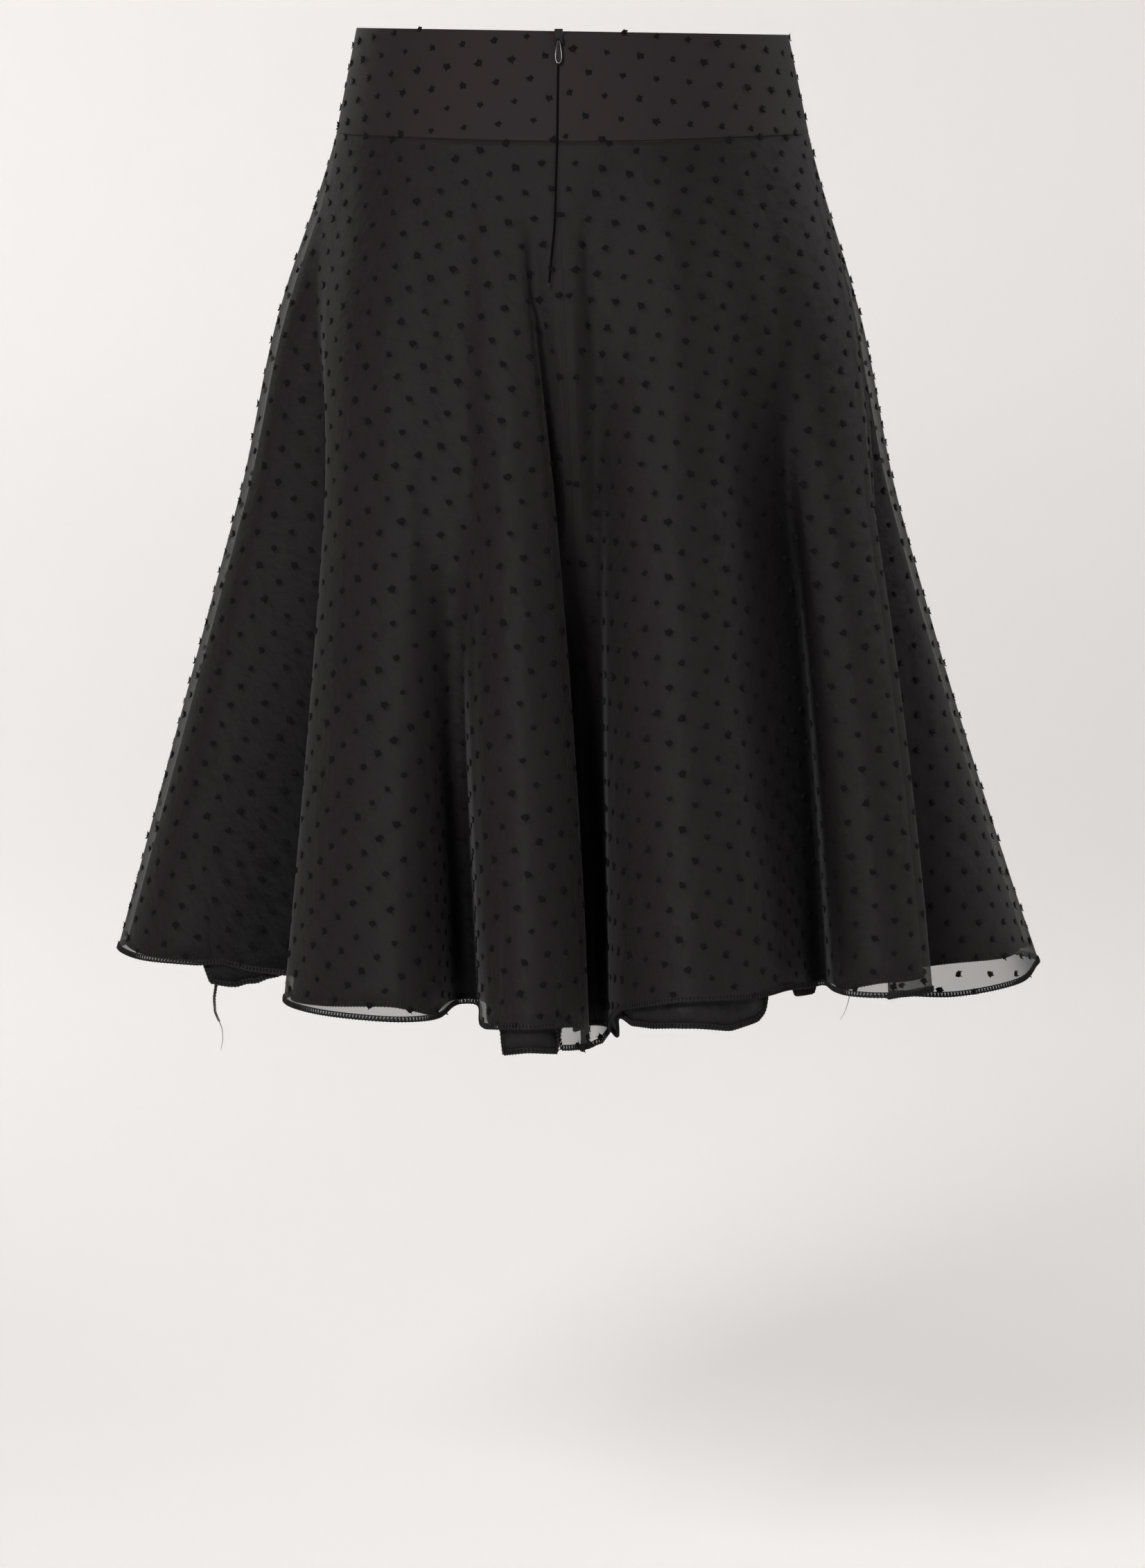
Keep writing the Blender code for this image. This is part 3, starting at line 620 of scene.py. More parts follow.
def weave_group():
    """Threads of a plain weave on the flat cut: Net is 1 on a thread, and Height is its relief."""
    group, given, target = new_group("plain_weave", "Threads per metre", 2500.0, ("Net", "Height"))
    parts = new_node(group, "ShaderNodeSeparateXYZ", Vector=given["Vector"])
    turn = math_node(group, "MULTIPLY", given["Threads per metre"], 2 * math.pi)
    waves = []
    for axis in (0, 1):
        phase = math_node(group, "MULTIPLY", parts.outputs[axis], turn)
        waves.append(math_node(group, "SINE", phase))
    net = math_node(group, "MAXIMUM", *waves)
    fed(group, target, Net=math_node(group, "MULTIPLY_ADD", net, 0.5, 0.5),
        Height=math_node(group, "MULTIPLY", *waves))
    return group


def clouds_group():
    """Soft uneven tone: Tone is about 1, and Crumple is a fine relief."""
    group, given, target = new_group("worn_clouds", "Amount", 0.2, ("Tone", "Crumple"))
    broad = new_node(group, "ShaderNodeTexNoise", Vector=given["Vector"], Scale=9.0, Detail=3.0)
    fine = new_node(group, "ShaderNodeTexNoise", Vector=given["Vector"], Scale=70.0, Detail=4.0)
    centred = math_node(group, "SUBTRACT", broad.outputs["Fac"], 0.5)
    scaled = math_node(group, "MULTIPLY", centred, given["Amount"])
    fed(group, target, Tone=math_node(group, "ADD", scaled, 1.0), Crumple=fine.outputs["Fac"])
    return group


WEAVE = weave_group()
CLOUDS = clouds_group()
print("node groups:", WEAVE.name, CLOUDS.name)

# %% [markdown]
# Every finish starts from a Principled shader. Its steady values, such as sheen and coat, sit on
# the shader's own sockets, and only what changes over the surface comes from nodes.

# %% Finishes
def new_finish(name, color, roughness, **steady):
    """A material, its node tree and its shader. Steady values sit on the shader's own sockets."""
    finish = bpy.data.materials.new(name)
    finish.use_nodes = True
    tree = finish.node_tree
    shader = tree.nodes["Principled BSDF"]
    fed(tree, shader, Base_Color=(*color, 1.0), Roughness=roughness, **steady)
    return finish, tree, shader


def add_group(tree, group, **values):
    made = tree.nodes.new("ShaderNodeGroup")
    made.node_tree = group
    return fed(tree, made, **values)


def tinted(tree, shader, color, tone):
    """Feeds Base Color with a colour times a tone that changes over the surface."""
    mixed = tree.nodes.new("ShaderNodeMix")
    mixed.data_type = "RGBA"
    mixed.blend_type = "MULTIPLY"
    fed(tree, mixed, Factor=1.0, A=(*color, 1.0), B=tone)
    fed(tree, shader, Base_Color=mixed.outputs["Result"])


def bumped(tree, shader, height, distance, strength):
    bump = new_node(tree, "ShaderNodeBump", Height=height, Distance=distance, Strength=strength)
    fed(tree, shader, Normal=bump.outputs["Normal"])


def cut_place(tree):
    """The place on the flat cut, from a piece's UV map."""
    cut = tree.nodes.new("ShaderNodeUVMap")
    cut.uv_map = "cut"
    return cut.outputs["UV"]


NET_CLOSING = 1.6
SHADE_DEPTH = 0.85
WEAVE_RELIEF = 0.02
CLOTH_BUMP = (0.002, 0.5)
FIBRE_BUMP_STRENGTH = 0.6
# A fibre's roughness starts at the first share of its value and rises by the second
FIBRE_ROUGH_LEAST, FIBRE_ROUGH_RISE = 0.8, 0.4


def cloth_finish(name, color, roughness, threads, tone, crumple, alpha=None, **steady):
    """A woven cloth whose weave follows its flat cut, with painted shade in its deep folds. alpha is (in
    a hole, on a thread).
    """
    finish, tree, shader = new_finish(name, color, roughness, **steady)
    cut = cut_place(tree)
    weave = add_group(tree, WEAVE, Vector=cut, Threads_per_metre=threads)
    clouds = add_group(tree, CLOUDS, Vector=cut, Amount=tone)
    # Painted shade: the fold_shade attribute darkens the base colour in deep folds and in fold 4's shadow
    deep = tree.nodes.new("ShaderNodeAttribute")
    deep.attribute_name = "fold_shade"
    light = math_node(tree, "MULTIPLY_ADD", deep.outputs["Fac"], -SHADE_DEPTH, 1.0)
    tinted(tree, shader, color, math_node(tree, "MULTIPLY", clouds.outputs["Tone"], light))
    fed(tree, shader, Roughness=math_node(tree, "MULTIPLY", clouds.outputs["Tone"], roughness))
    folds = math_node(tree, "MULTIPLY", clouds.outputs["Crumple"], crumple)
    woven = math_node(tree, "MULTIPLY", weave.outputs["Height"], WEAVE_RELIEF)
    bumped(tree, shader, math_node(tree, "ADD", folds, woven), *CLOTH_BUMP)
    if alpha:
        hole, thread = alpha
        spread = new_node(tree, "ShaderNodeMapRange", Value=weave.outputs["Net"],
                          To_Min=hole, To_Max=thread).outputs["Result"]
        # Seen along its surface, a net closes up
        slope = tree.nodes.new("ShaderNodeLayerWeight").outputs["Facing"]
        closing = math_node(tree, "POWER", slope, NET_CLOSING)
        open_part = math_node(tree, "SUBTRACT", 1.0, spread)
        fed(tree, shader, Alpha=math_node(tree, "MULTIPLY_ADD", open_part, closing, spread))
    return finish


def fibre_finish(name, color, roughness, grain, tone, relief, **steady):
    """A small thing's finish. grain is how much finer its clouds are than a cloth's."""
    finish, tree, shader = new_finish(name, color, roughness, **steady)
    finer = tree.nodes.new("ShaderNodeVectorMath")
    finer.operation = "SCALE"
    feed(tree, tree.nodes.new("ShaderNodeTexCoord").outputs["Object"], finer.inputs[0])
    feed(tree, grain, finer.inputs["Scale"])
    clouds = add_group(tree, CLOUDS, Vector=finer.outputs["Vector"], Amount=tone)
    tinted(tree, shader, color, clouds.outputs["Tone"])
    crumple = clouds.outputs["Crumple"]
    fed(tree, shader, Roughness=math_node(tree, "MULTIPLY_ADD", crumple, roughness * FIBRE_ROUGH_RISE,
                                          roughness * FIBRE_ROUGH_LEAST))
    bumped(tree, shader, crumple, relief, FIBRE_BUMP_STRENGTH)
    return finish


THREAD_COLOR = (0.010, 0.0085, 0.009)
CHIFFON = cloth_finish("chiffon_sheer", (0.0235, 0.0185, 0.0195), 0.78, 2600.0, 0.25, 0.5,
                       alpha=(0.20, 0.62), Sheen_Weight=0.08, Sheen_Roughness=0.35,
                       Specular_IOR_Level=0.12)
SATIN = cloth_finish("lining_satin", (0.0085, 0.0076, 0.0080), 0.42, 3600.0, 0.3, 3.0,
                     Specular_IOR_Level=0.20, Anisotropic=0.3)
BAND = cloth_finish("band_chiffon_on_satin", (0.019, 0.0145, 0.0153), 0.72, 2600.0, 0.25, 0.4,
                    Sheen_Weight=0.04, Sheen_Roughness=0.4, Specular_IOR_Level=0.12)
TUFT = fibre_finish("dot_yarn", (0.0055, 0.0048, 0.0052), 0.9, 60.0, 1.2, 0.0003,
                    Specular_IOR_Level=0.1)
THREAD = fibre_finish("sewing_thread", THREAD_COLOR, 0.6, 40.0, 0.6, 0.0002,
                      Specular_IOR_Level=0.25)
print("finishes:", [material.name for material in bpy.data.materials])

# %% [markdown]
# The chiffon is one surface for each panel, with see-through holes from its weave. The lining
# and the band can't be seen through, so they are thin closed shells with a real thickness.

# %% Cloth shells
BACK_GRAIN_DEG = 33.0
LINING_THICKNESS = 0.0005
BEVEL_SEGMENTS, BEVEL_LEAST_DEG = 3, 50.0


def select_only(made):
    bpy.ops.object.select_all(action="DESELECT")
    made.select_set(True)
    bpy.context.view_layer.objects.active = made


def thickened(made, thickness, bevel=0.0):
    """Gives a sheet its thickness inwards, with rounded edges where bevel is given."""
    wall = made.modifiers.new("wall", "SOLIDIFY")
    wall.thickness = thickness
    wall.offset = -1.0
    if bevel:
        rounding = made.modifiers.new("rounding", "BEVEL")
        rounding.width = bevel
        rounding.segments = BEVEL_SEGMENTS
        rounding.limit_method = "ANGLE"
        rounding.angle_limit = math.radians(BEVEL_LEAST_DEG)
    select_only(made)
    for name in [modifier.name for modifier in made.modifiers]:
        bpy.ops.object.modifier_apply(modifier=name)
    return made


# Each panel: its first and last track, the warp's angle at its anchor, and the anchor's share
PANELS = {
    "back_right": (0.0, SIDE_RIGHT, -BACK_GRAIN_DEG, 0.0),
    "front": (SIDE_RIGHT, SIDE_LEFT, 0.0, 0.5),
    "back_left": (SIDE_LEFT, float(len(MARKS)), BACK_GRAIN_DEG, 1.0),
}
chiffon_panels, chiffon_flats, sheets = {}, {}, {}
# The painted shade of each grid: darker deep folds and fold 4's painted shadow
skirt_shade, lining_shade = fold_shade(skirt, SKIRT_STEPS), fold_shade(lining, LINING_STEPS)
for side, (first, last, grain, anchor) in PANELS.items():
    panel, shade = (panel_between(grid, SKIRT_STEPS, first, last) for grid in (skirt, skirt_shade))
    flat = flat_cut(panel, grain, anchor)
    chiffon_panels[side], chiffon_flats[side] = panel, flat
    sheets[f"skirt_{side}"] = add_panel(f"chiffon_{side}", panel, flat, CHIFFON, shade)
    panel, shade = (panel_between(grid, LINING_STEPS, first, last) for grid in (lining, lining_shade))
    made = add_panel(f"satin_{side}", panel, flat_cut(panel, grain, anchor), SATIN, shade)
    sheets[f"lining_{side}"] = thickened(made, LINING_THICKNESS)

# %% [markdown]
# The waistband is a shaped yoke, cut so that its top is shorter than its lower edge. Its back
# pieces dip in a small notch where they meet at the zip, because the slider pulls them down.

# %% Waistband
NOTCH_DEPTH, NOTCH_HALF_WIDTH = 0.0036, 0.0080
BAND_ROWS, BAND_STEP_DEG = 20, 0.6
BAND_THICKNESS, BAND_BEVEL = 0.0024, 0.0006


def band_point(degrees, share):
    """Points of the waistband's outer side, at a share of its height from the top."""
    half_width = WAIST_HALF_WIDTH + (SEAM_HALF_WIDTH - WAIST_HALF_WIDTH) * share
    half_depth = WAIST_HALF_DEPTH + (SEAM_HALF_DEPTH - WAIST_HALF_DEPTH) * share
    x, y = np.moveaxis(on_ellipse(degrees, half_width, half_depth), -1, 0)
    zip_x = on_ellipse(ZIP_DEG, half_width, half_depth)[..., 0]
    nearness = np.maximum(0.0, 1.0 - np.abs(x - zip_x) / NOTCH_HALF_WIDTH)
    top = WAIST_TILT * x - NOTCH_DEPTH * nearness * (y < 0.0)
    return np.stack((x, y, top + (seam_level(degrees) - top) * share), axis=-1)


def degrees_at(track):
    """The angle on the waist seam at a place between two tracks."""
    return float(np.interp(track, range(len(MARKS)), TRACK["degrees"]))


def band_grid(start, end):
    columns = round((end - start) / BAND_STEP_DEG)
    angles = np.linspace(start, end, columns + 1)
    shares = np.linspace(0.0, 1.0, BAND_ROWS + 1)
    grid = band_point(*np.meshgrid(angles, shares))
    along = np.linalg.norm(np.diff(grid, axis=1), axis=2).mean(axis=0)
    across = np.concatenate(([0.0], np.cumsum(along)))
    flat = np.stack(np.broadcast_arrays(across[None, :], grid[:, :1, 2]), axis=-1)
    return grid, flat


BAND_PIECES = {
    "back_right": (ZIP_DEG, degrees_at(SIDE_RIGHT)),
    "front": (degrees_at(SIDE_RIGHT), degrees_at(SIDE_LEFT)),
    "back_left": (degrees_at(SIDE_LEFT), 360.0 + ZIP_DEG),
}
band_panels, band_flats = {}, {}
for side, (start, end) in BAND_PIECES.items():
    grid, flat = band_grid(start, end)
    band_panels[side], band_flats[side] = grid, flat
    made = add_panel(f"yoke_{side}", grid, flat, BAND)
    sheets[f"band_{side}"] = thickened(made, BAND_THICKNESS, BAND_BEVEL)

# %% [markdown]
# A clipped dot is a bundle of extra yarn that is woven in and cut off at both ends. So it is a small dark
# lump with short ends that stand up. One is modelled from a circle, and a copy of it goes to every place
# of the dots' lattice. A flat picture of the panel is used to look up where a place on the cut lies on
# the folded skirt.

# %% One clipped dot
DOT_RADIUS, DOT_HEIGHT, DOT_FLATNESS = 0.0026, 0.0011, 0.75
DOT_CORNERS, DOT_TAPER, DOT_RAGGED = 9, 0.66, 0.22
# Shares of a dot's height: up to its shoulder, and from there to its top
DOT_SHOULDER, DOT_TOP = 0.8, 0.2
# Yarn ends: how many, their spread in steps, and their sizes in dot radii and dot heights
YARN_ENDS, YARN_SPREAD, YARN_WIDTH = 5, 0.3, 0.16
YARN_ROOT, YARN_TIP, YARN_RISE = (0.3, 0.8), (1.0, 1.5), (1.0, 1.7)
chance = random.Random(7)


def open_edit(made):
    bpy.context.view_layer.objects.active = made
    bpy.ops.object.mode_set(mode="EDIT")


def model_dot():
    """The dot's lump: a circle drawn in and up to a small top, with a ragged rim."""
    bpy.ops.mesh.primitive_circle_add(vertices=DOT_CORNERS, radius=DOT_RADIUS)
    made = bpy.context.object
    open_edit(made)
    bpy.ops.mesh.extrude_region_move(TRANSFORM_OT_translate={"value": (0, 0, DOT_HEIGHT * DOT_SHOULDER)})
    bpy.ops.transform.resize(value=(DOT_TAPER, DOT_TAPER, 1.0))
    bpy.ops.mesh.extrude_region_move(TRANSFORM_OT_translate={"value": (0, 0, DOT_HEIGHT * DOT_TOP)})
    bpy.ops.mesh.merge(type="CENTER")
    bpy.ops.object.mode_set(mode="OBJECT")
    for vert in made.data.vertices:
        ragged = 1.0 + chance.uniform(-DOT_RAGGED, DOT_RAGGED)
        vert.co.x *= ragged
        vert.co.y *= ragged * DOT_FLATNESS
    return made


def add_yarn_end(points, faces, turn):
    """One cut end of yarn, as a thin leaning blade with three corners and a tip."""
    lean = Vector((math.cos(turn), math.sin(turn), 0.0))
    side = Vector((-lean.y, lean.x, 0.0)) * DOT_RADIUS * YARN_WIDTH
    root = lean * DOT_RADIUS * chance.uniform(*YARN_ROOT)
    tip = lean * DOT_RADIUS * chance.uniform(*YARN_TIP)
    tip.z = DOT_HEIGHT * chance.uniform(*YARN_RISE)
    first = len(points)
    points += [root - side, root + side, root + Vector((0, 0, DOT_HEIGHT)), tip]
    faces += [(first, first + 1, first + 3), (first + 1, first + 2, first + 3),
              (first + 2, first, first + 3)]


def points_and_faces(made):
    """What a modelled shape holds. Its object is removed."""
    points = [vert.co.copy() for vert in made.data.vertices]
    faces = [tuple(face.vertices) for face in made.data.polygons]
    bpy.data.objects.remove(made)
    return points, faces


def in_triangles(faces):
    """The same faces with each quad split in two, so that all have three corners."""
    split = []
    for face in faces:
        split.append(face[:3])
        if len(face) > 3:
            split.append((face[0], *face[2:]))
    return split


dot_points, dot_faces = points_and_faces(model_dot())
for number in range(YARN_ENDS):
    steps = number + chance.uniform(-YARN_SPREAD, YARN_SPREAD)
    add_yarn_end(dot_points, dot_faces, steps * 2 * math.pi / YARN_ENDS)
dot_faces = in_triangles(dot_faces)
print("faces of one dot:", len(dot_faces))

# %% [markdown]
# The dots lie in rows along the warp, and each second row is moved by half a step. So they are
# set out on the flat cut first, and a look-up through its grid finds each one's place and the
# way that the cloth faces there.

# %% Dots over the lattice
DOT_SPACING = 0.022
DOT_ROW_PITCH = 0.013
DOT_EDGE_COLUMNS = 1
DOT_SINK = 0.0002
DOT_TURN, DOT_SIZES = 0.7, (0.82, 1.18)


def lattice(low, high, along_y=True):
    """Places of the dots in a flat rectangle: rows of them, each second row moved by half."""
    a, b = (0, 1) if along_y else (1, 0)
    found = []
    for row in range(math.floor(low[a] / DOT_ROW_PITCH), math.ceil(high[a] / DOT_ROW_PITCH) + 1):
        shift = DOT_SPACING / 2 if row % 2 else 0.0
        for step in range(math.floor(low[b] / DOT_SPACING) - 1, math.ceil(high[b] / DOT_SPACING) + 1):
            spot = (row * DOT_ROW_PITCH, step * DOT_SPACING + shift)
            found.append(spot if along_y else spot[::-1])
    return found


def frames_on(panel, flat, spots):
    """For each flat place that lies on the panel: its point, and axes along, down and out."""
    rows, columns = panel.shape[:2]
    faces = grid_faces(rows, columns)
    flat_points = np.concatenate((flat.reshape(-1, 2), np.zeros((rows * columns, 1))), axis=1)
    tree = BVHTree.FromPolygons(flat_points.tolist(), faces.tolist())
    solid, corners = panel.reshape(-1, 3), flat.reshape(-1, 2)
    points, frames = [], []
    for x, y in spots:
        hit, _, index, _ = tree.ray_cast(Vector((x, y, 1.0)), Vector((0.0, 0.0, -1.0)))
        if hit is None:
            continue
        a, b, c, d = faces[index]
        moves = np.stack((corners[d] - corners[a], corners[b] - corners[a]), axis=1)
        if not DOT_EDGE_COLUMNS <= index % (columns - 1) < columns - 1 - DOT_EDGE_COLUMNS:
            continue
        right, down = np.linalg.solve(moves, np.array((x, y)) - corners[a])
        along = solid[d] - solid[a]
        below = solid[b] - solid[a]
        points.append(solid[a] + along * right + below * down)
        out = np.cross(below, along)
        out /= np.linalg.norm(out)
        along /= np.linalg.norm(along)
        frames.append((along, np.cross(out, along), out))
    return np.array(points), np.array(frames)


def copies(name, points, faces, places, frames, finish, spin=None, grow=None):
    """One mesh with a copy of a small shape at each place, turned in its own frame."""
    count = len(places)
    spin = np.zeros(count) if spin is None else spin
    grow = np.ones(count) if grow is None else grow
    shape = np.array([tuple(point) for point in points])
    turned = np.stack((
        shape[:, 0] * np.cos(spin)[:, None] - shape[:, 1] * np.sin(spin)[:, None],
        shape[:, 0] * np.sin(spin)[:, None] + shape[:, 1] * np.cos(spin)[:, None],
        np.broadcast_to(shape[:, 2], (count, len(shape))),
    ), axis=-1) * grow[:, None, None]
    placed = np.einsum("nvk,nkj->nvj", turned, frames) + places[:, None, :]
    offsets = (np.arange(count) * len(shape))[:, None, None]
    all_faces = (np.array(faces)[None] + offsets).reshape(-1, len(faces[0]))
    made = add_mesh(name, placed.reshape(-1, 3), all_faces, finish)
    print(name, "copies:", count, "faces:", len(made.data.polygons))
    return made


def add_dots(name, panel, flat, along_y=True):
    low, high = flat.reshape(-1, 2).min(axis=0), flat.reshape(-1, 2).max(axis=0)
    places, frames = frames_on(panel, flat, lattice(low, high, along_y))
    places = places - frames[:, 2] * DOT_SINK
    turns = np.array([chance.uniform(-DOT_TURN, DOT_TURN) for _ in places])
    sizes = np.array([chance.uniform(*DOT_SIZES) for _ in places])
    return copies(name, dot_points, dot_faces, places, frames, TUFT, turns, sizes)


# The warp lies a little askew in each back piece of the band
BAND_GRAIN_DEG = {"back_right": 5.0, "front": 0.0, "back_left": -7.0}


def turned_flat(flat, degrees):
    """Flat places turned by an angle, so that the lattice lies askew on them."""
    angle = math.radians(degrees)
    x, y = flat[..., 0], flat[..., 1]
    return np.stack((x * math.cos(angle) - y * math.sin(angle),
                     x * math.sin(angle) + y * math.cos(angle)), axis=-1)


dots = {}
for side in PANELS:
    dots[f"skirt_{side}"] = add_dots(f"dots_{side}", chiffon_panels[side], chiffon_flats[side])
    askew = turned_flat(band_flats[side], BAND_GRAIN_DEG[side])
    dots[f"band_{side}"] = add_dots(f"yoke_dots_{side}", band_panels[side], askew, False)

# %% [markdown]
# Both hems are overlocked: a thread wraps the cut edge every two or three millimetres. One loop
# of it is a bent tube with three sides, and copies of it follow the hem all round.

# %% Overlocked hems
LOOP_PITCH = 0.0024
LOOP_HEIGHT = 0.0032
LOOP_RADIUS = 0.00042
LOOP_TURNS = (0.0, 2.1, 4.2)
LOOP_SIDE_LEAN = 0.2
# The loop's path: along in pitches, up in heights, and out in metres
LOOP_PATH = ((-0.30, 1.0, 0.0005), (-0.10, 0.5, 0.0007), (0.0, 0.0, 0.0006),
             (0.05, -0.15625, 0.0), (0.10, 0.0, -0.0008), (0.30, 0.6, -0.0008))


def model_loop():
    """One overlock loop: over the outer side, round the edge and back up the inner side."""
    path = [Vector((along * LOOP_PITCH, up * LOOP_HEIGHT, out)) for along, up, out in LOOP_PATH]
    points, faces = [], []
    for index, middle in enumerate(path):
        ahead = path[min(index + 1, len(path) - 1)] - path[max(index - 1, 0)]
        side = ahead.cross(Vector((1.0, 0.0, LOOP_SIDE_LEAN))).normalized()
        up = ahead.cross(side).normalized()
        for turn in LOOP_TURNS:
            points.append(middle + (side * math.cos(turn) + up * math.sin(turn)) * LOOP_RADIUS)
    for index in range(len(path) - 1):
        for step in range(3):
            a, b = index * 3 + step, index * 3 + (step + 1) % 3
            faces.append((a, b, b + 3, a + 3))
    return points, faces


def along_hem(ring, pitch):
    """Points and frames at even steps along a closed ring's lowest row."""
    closed = np.concatenate((ring[-1], ring[-1][:1]))
    above = np.concatenate((ring[-2], ring[-2][:1]))
    lengths = np.linalg.norm(np.diff(closed, axis=0), axis=1)
    reach = np.concatenate(([0.0], np.cumsum(lengths)))
    stops = np.arange(0.0, reach[-1], pitch)
    index = np.clip(np.searchsorted(reach, stops, side="right") - 1, 0, len(lengths) - 1)
    share = ((stops - reach[index]) / lengths[index])[:, None]
    places = closed[index] + (closed[index + 1] - closed[index]) * share
    along = (closed[index + 1] - closed[index]) / lengths[index][:, None]
    up = above[index] - closed[index]
    out = np.cross(along, up)
    out /= np.linalg.norm(out, axis=1)[:, None]
    up = np.cross(out, along)
    return places, np.stack((along, up, out), axis=1)


HEM_BAND_ROWS = (0.0, 0.0012, 0.0024, 0.0036)
HEM_BAND_OUT = 0.0003
HEM_BAND_BELOW = 0.0004
# The small gap inside each loop: its middle and half height, where it starts along the loop's
# wave, and how clear it is
GAP_LEVEL, GAP_HALF_HEIGHT, GAP_START, GAP_CLEARNESS = 0.0020, 0.0009, 0.1, 0.55


def hem_band(name, places, frames, finish):
    """The dense band of thread under the loops, as a closed strip along the edge."""
    rows = np.stack([places + frames[:, 1] * (high - HEM_BAND_BELOW) + frames[:, 2] * HEM_BAND_OUT
                     for high in HEM_BAND_ROWS[::-1]])
    rows = np.concatenate((rows, rows[:, :1]), axis=1)
    along = np.arange(rows.shape[1]) * LOOP_PITCH
    flat = np.stack(np.broadcast_arrays(along[None, :], np.array(HEM_BAND_ROWS[::-1])[:, None]), axis=-1)
    return add_mesh(name, rows.reshape(-1, 3), grid_faces(*rows.shape[:2]), finish, flat.reshape(-1, 2))


def thread_band_finish():
    """Overlocked thread: dense at both edges, with a small gap inside each loop."""
    finish, tree, shader = new_finish("overlock_band", THREAD_COLOR, 0.7, Specular_IOR_Level=0.2)
    cut = cut_place(tree)
    parts = new_node(tree, "ShaderNodeSeparateXYZ", Vector=cut)
    turns = math_node(tree, "MULTIPLY", parts.outputs[0], 2 * math.pi / LOOP_PITCH)
    wave = math_node(tree, "SINE", turns)
    middle = math_node(tree, "SUBTRACT", parts.outputs[1], GAP_LEVEL)
    nearness = math_node(tree, "LESS_THAN", math_node(tree, "ABSOLUTE", middle), GAP_HALF_HEIGHT)
    gap = math_node(tree, "MULTIPLY", nearness, math_node(tree, "GREATER_THAN", wave, GAP_START))
    clouds = add_group(tree, CLOUDS, Vector=cut, Amount=0.6)
    tinted(tree, shader, THREAD_COLOR, clouds.outputs["Tone"])
    fed(tree, shader, Alpha=math_node(tree, "MULTIPLY_ADD", gap, -GAP_CLEARNESS, 1.0))
    return finish


OVERLOCK = thread_band_finish()
loop_points, loop_faces = model_loop()
hem_places, hem_frames = along_hem(skirt, LOOP_PITCH)
chiffon_overlock = copies("chiffon_overlock", loop_points, loop_faces, hem_places, hem_frames, THREAD)
chiffon_band = hem_band("chiffon_hem_band", hem_places, hem_frames, OVERLOCK)
lining_places, lining_frames = along_hem(lining, LOOP_PITCH)
lining_band = hem_band("lining_hem_band", lining_places, lining_frames, OVERLOCK)
lining_overlock = copies("lining_overlock", loop_points, loop_faces, lining_places, lining_frames, THREAD)

# %% [markdown]
# The zip is sewn behind the slit. Its slider and pull are moulded metal with black gloss, so
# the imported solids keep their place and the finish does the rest. Small dents in the gloss break
# its highlights.

# %% Zip finishes
TAPE = fibre_finish("zip_tape", (0.0020, 0.0018, 0.0020), 0.9, 30.0, 0.5, 0.0003,
                    Specular_IOR_Level=0.05)
ENAMEL = fibre_finish("black_enamel", (0.006, 0.0055, 0.006), 0.22, 12.0, 0.7, 0.00005,
                      Specular_IOR_Level=0.3, Coat_Weight=0.4)
# Painted highlight: a bright metal for the pull's rim, standing in for the glints on its outline
PULL_HIGHLIGHT_METAL = fibre_finish("painted_highlight_metal", (0.30, 0.28, 0.29), 0.28, 30.0, 1.4, 0.0001, Metallic=1.0)
for node, finish in (("zip_chain", TAPE), ("zip_slider", ENAMEL), ("zip_pull", ENAMEL)):
    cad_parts[node].data.materials.clear()
    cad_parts[node].data.materials.append(finish)

# %% [markdown]
# Thread shows in more places: along the slit, and as loose ends at the hem. Each thread is a
# curve with a round bevel, made into a mesh.

# %% Round threads
THREAD_BEVEL_STEPS = 2
PATH_STEPS_PER_ROUND = 8


def add_thread(name, path, radii, finish):
    """A round thread along a path of points in metres, with a radius for each point."""
    line = bpy.data.curves.new(name, "CURVE")
    line.dimensions = "3D"
    line.bevel_depth = 1.0
    line.bevel_resolution = THREAD_BEVEL_STEPS
    line.use_fill_caps = True
    spline = line.splines.new("POLY")
    spline.points.add(len(path) - 1)
    for point, spot, radius in zip(spline.points, path, radii):
        point.co = (*spot, 1.0)
        point.radius = radius
    line.materials.append(finish)
    made = bpy.data.objects.new(name, line)
    bpy.context.scene.collection.objects.link(made)
    select_only(made)
    bpy.ops.object.convert(target="MESH")
    bpy.ops.object.shade_smooth()
    return bpy.context.object


def smooth_path(points, count):
    """Even steps on a smooth curve through a few points given in millimetres."""
    known = np.array(points, float) * MM
    share = np.linspace(0.0, 1.0, len(known))
    fine = np.linspace(0.0, 1.0, count)
    path = np.stack([np.interp(fine, share, known[:, axis]) for axis in range(3)], axis=1)
    for _ in range(count // PATH_STEPS_PER_ROUND):
        path[1:-1] = (path[:-2] + path[1:-1] * 2 + path[2:]) / 4
    return path


def twisted(path, radius, turns, phase):
    """A path wound round another one, for one strand of a twisted thread."""
    angle = np.linspace(0.0, 2 * math.pi * turns, len(path)) + phase
    wound = path.copy()
    wound[:, 0] += np.cos(angle) * radius
    wound[:, 1] += np.sin(angle) * radius
    return wound


# %% [markdown]
# The slit's edges meet in a dark line that runs down the band and the cloth to a small knot. It
# drifts a little to the left on its way, as the cloth pulls it.

# %% Slit and knot
SLIT_END = -0.1615
SLIT_RADIUS, SLIT_OUT = 0.0007, 0.0002
SLIT_BAND_POINTS, SLIT_BAND_SHARES = 12, (0.28, 0.99)
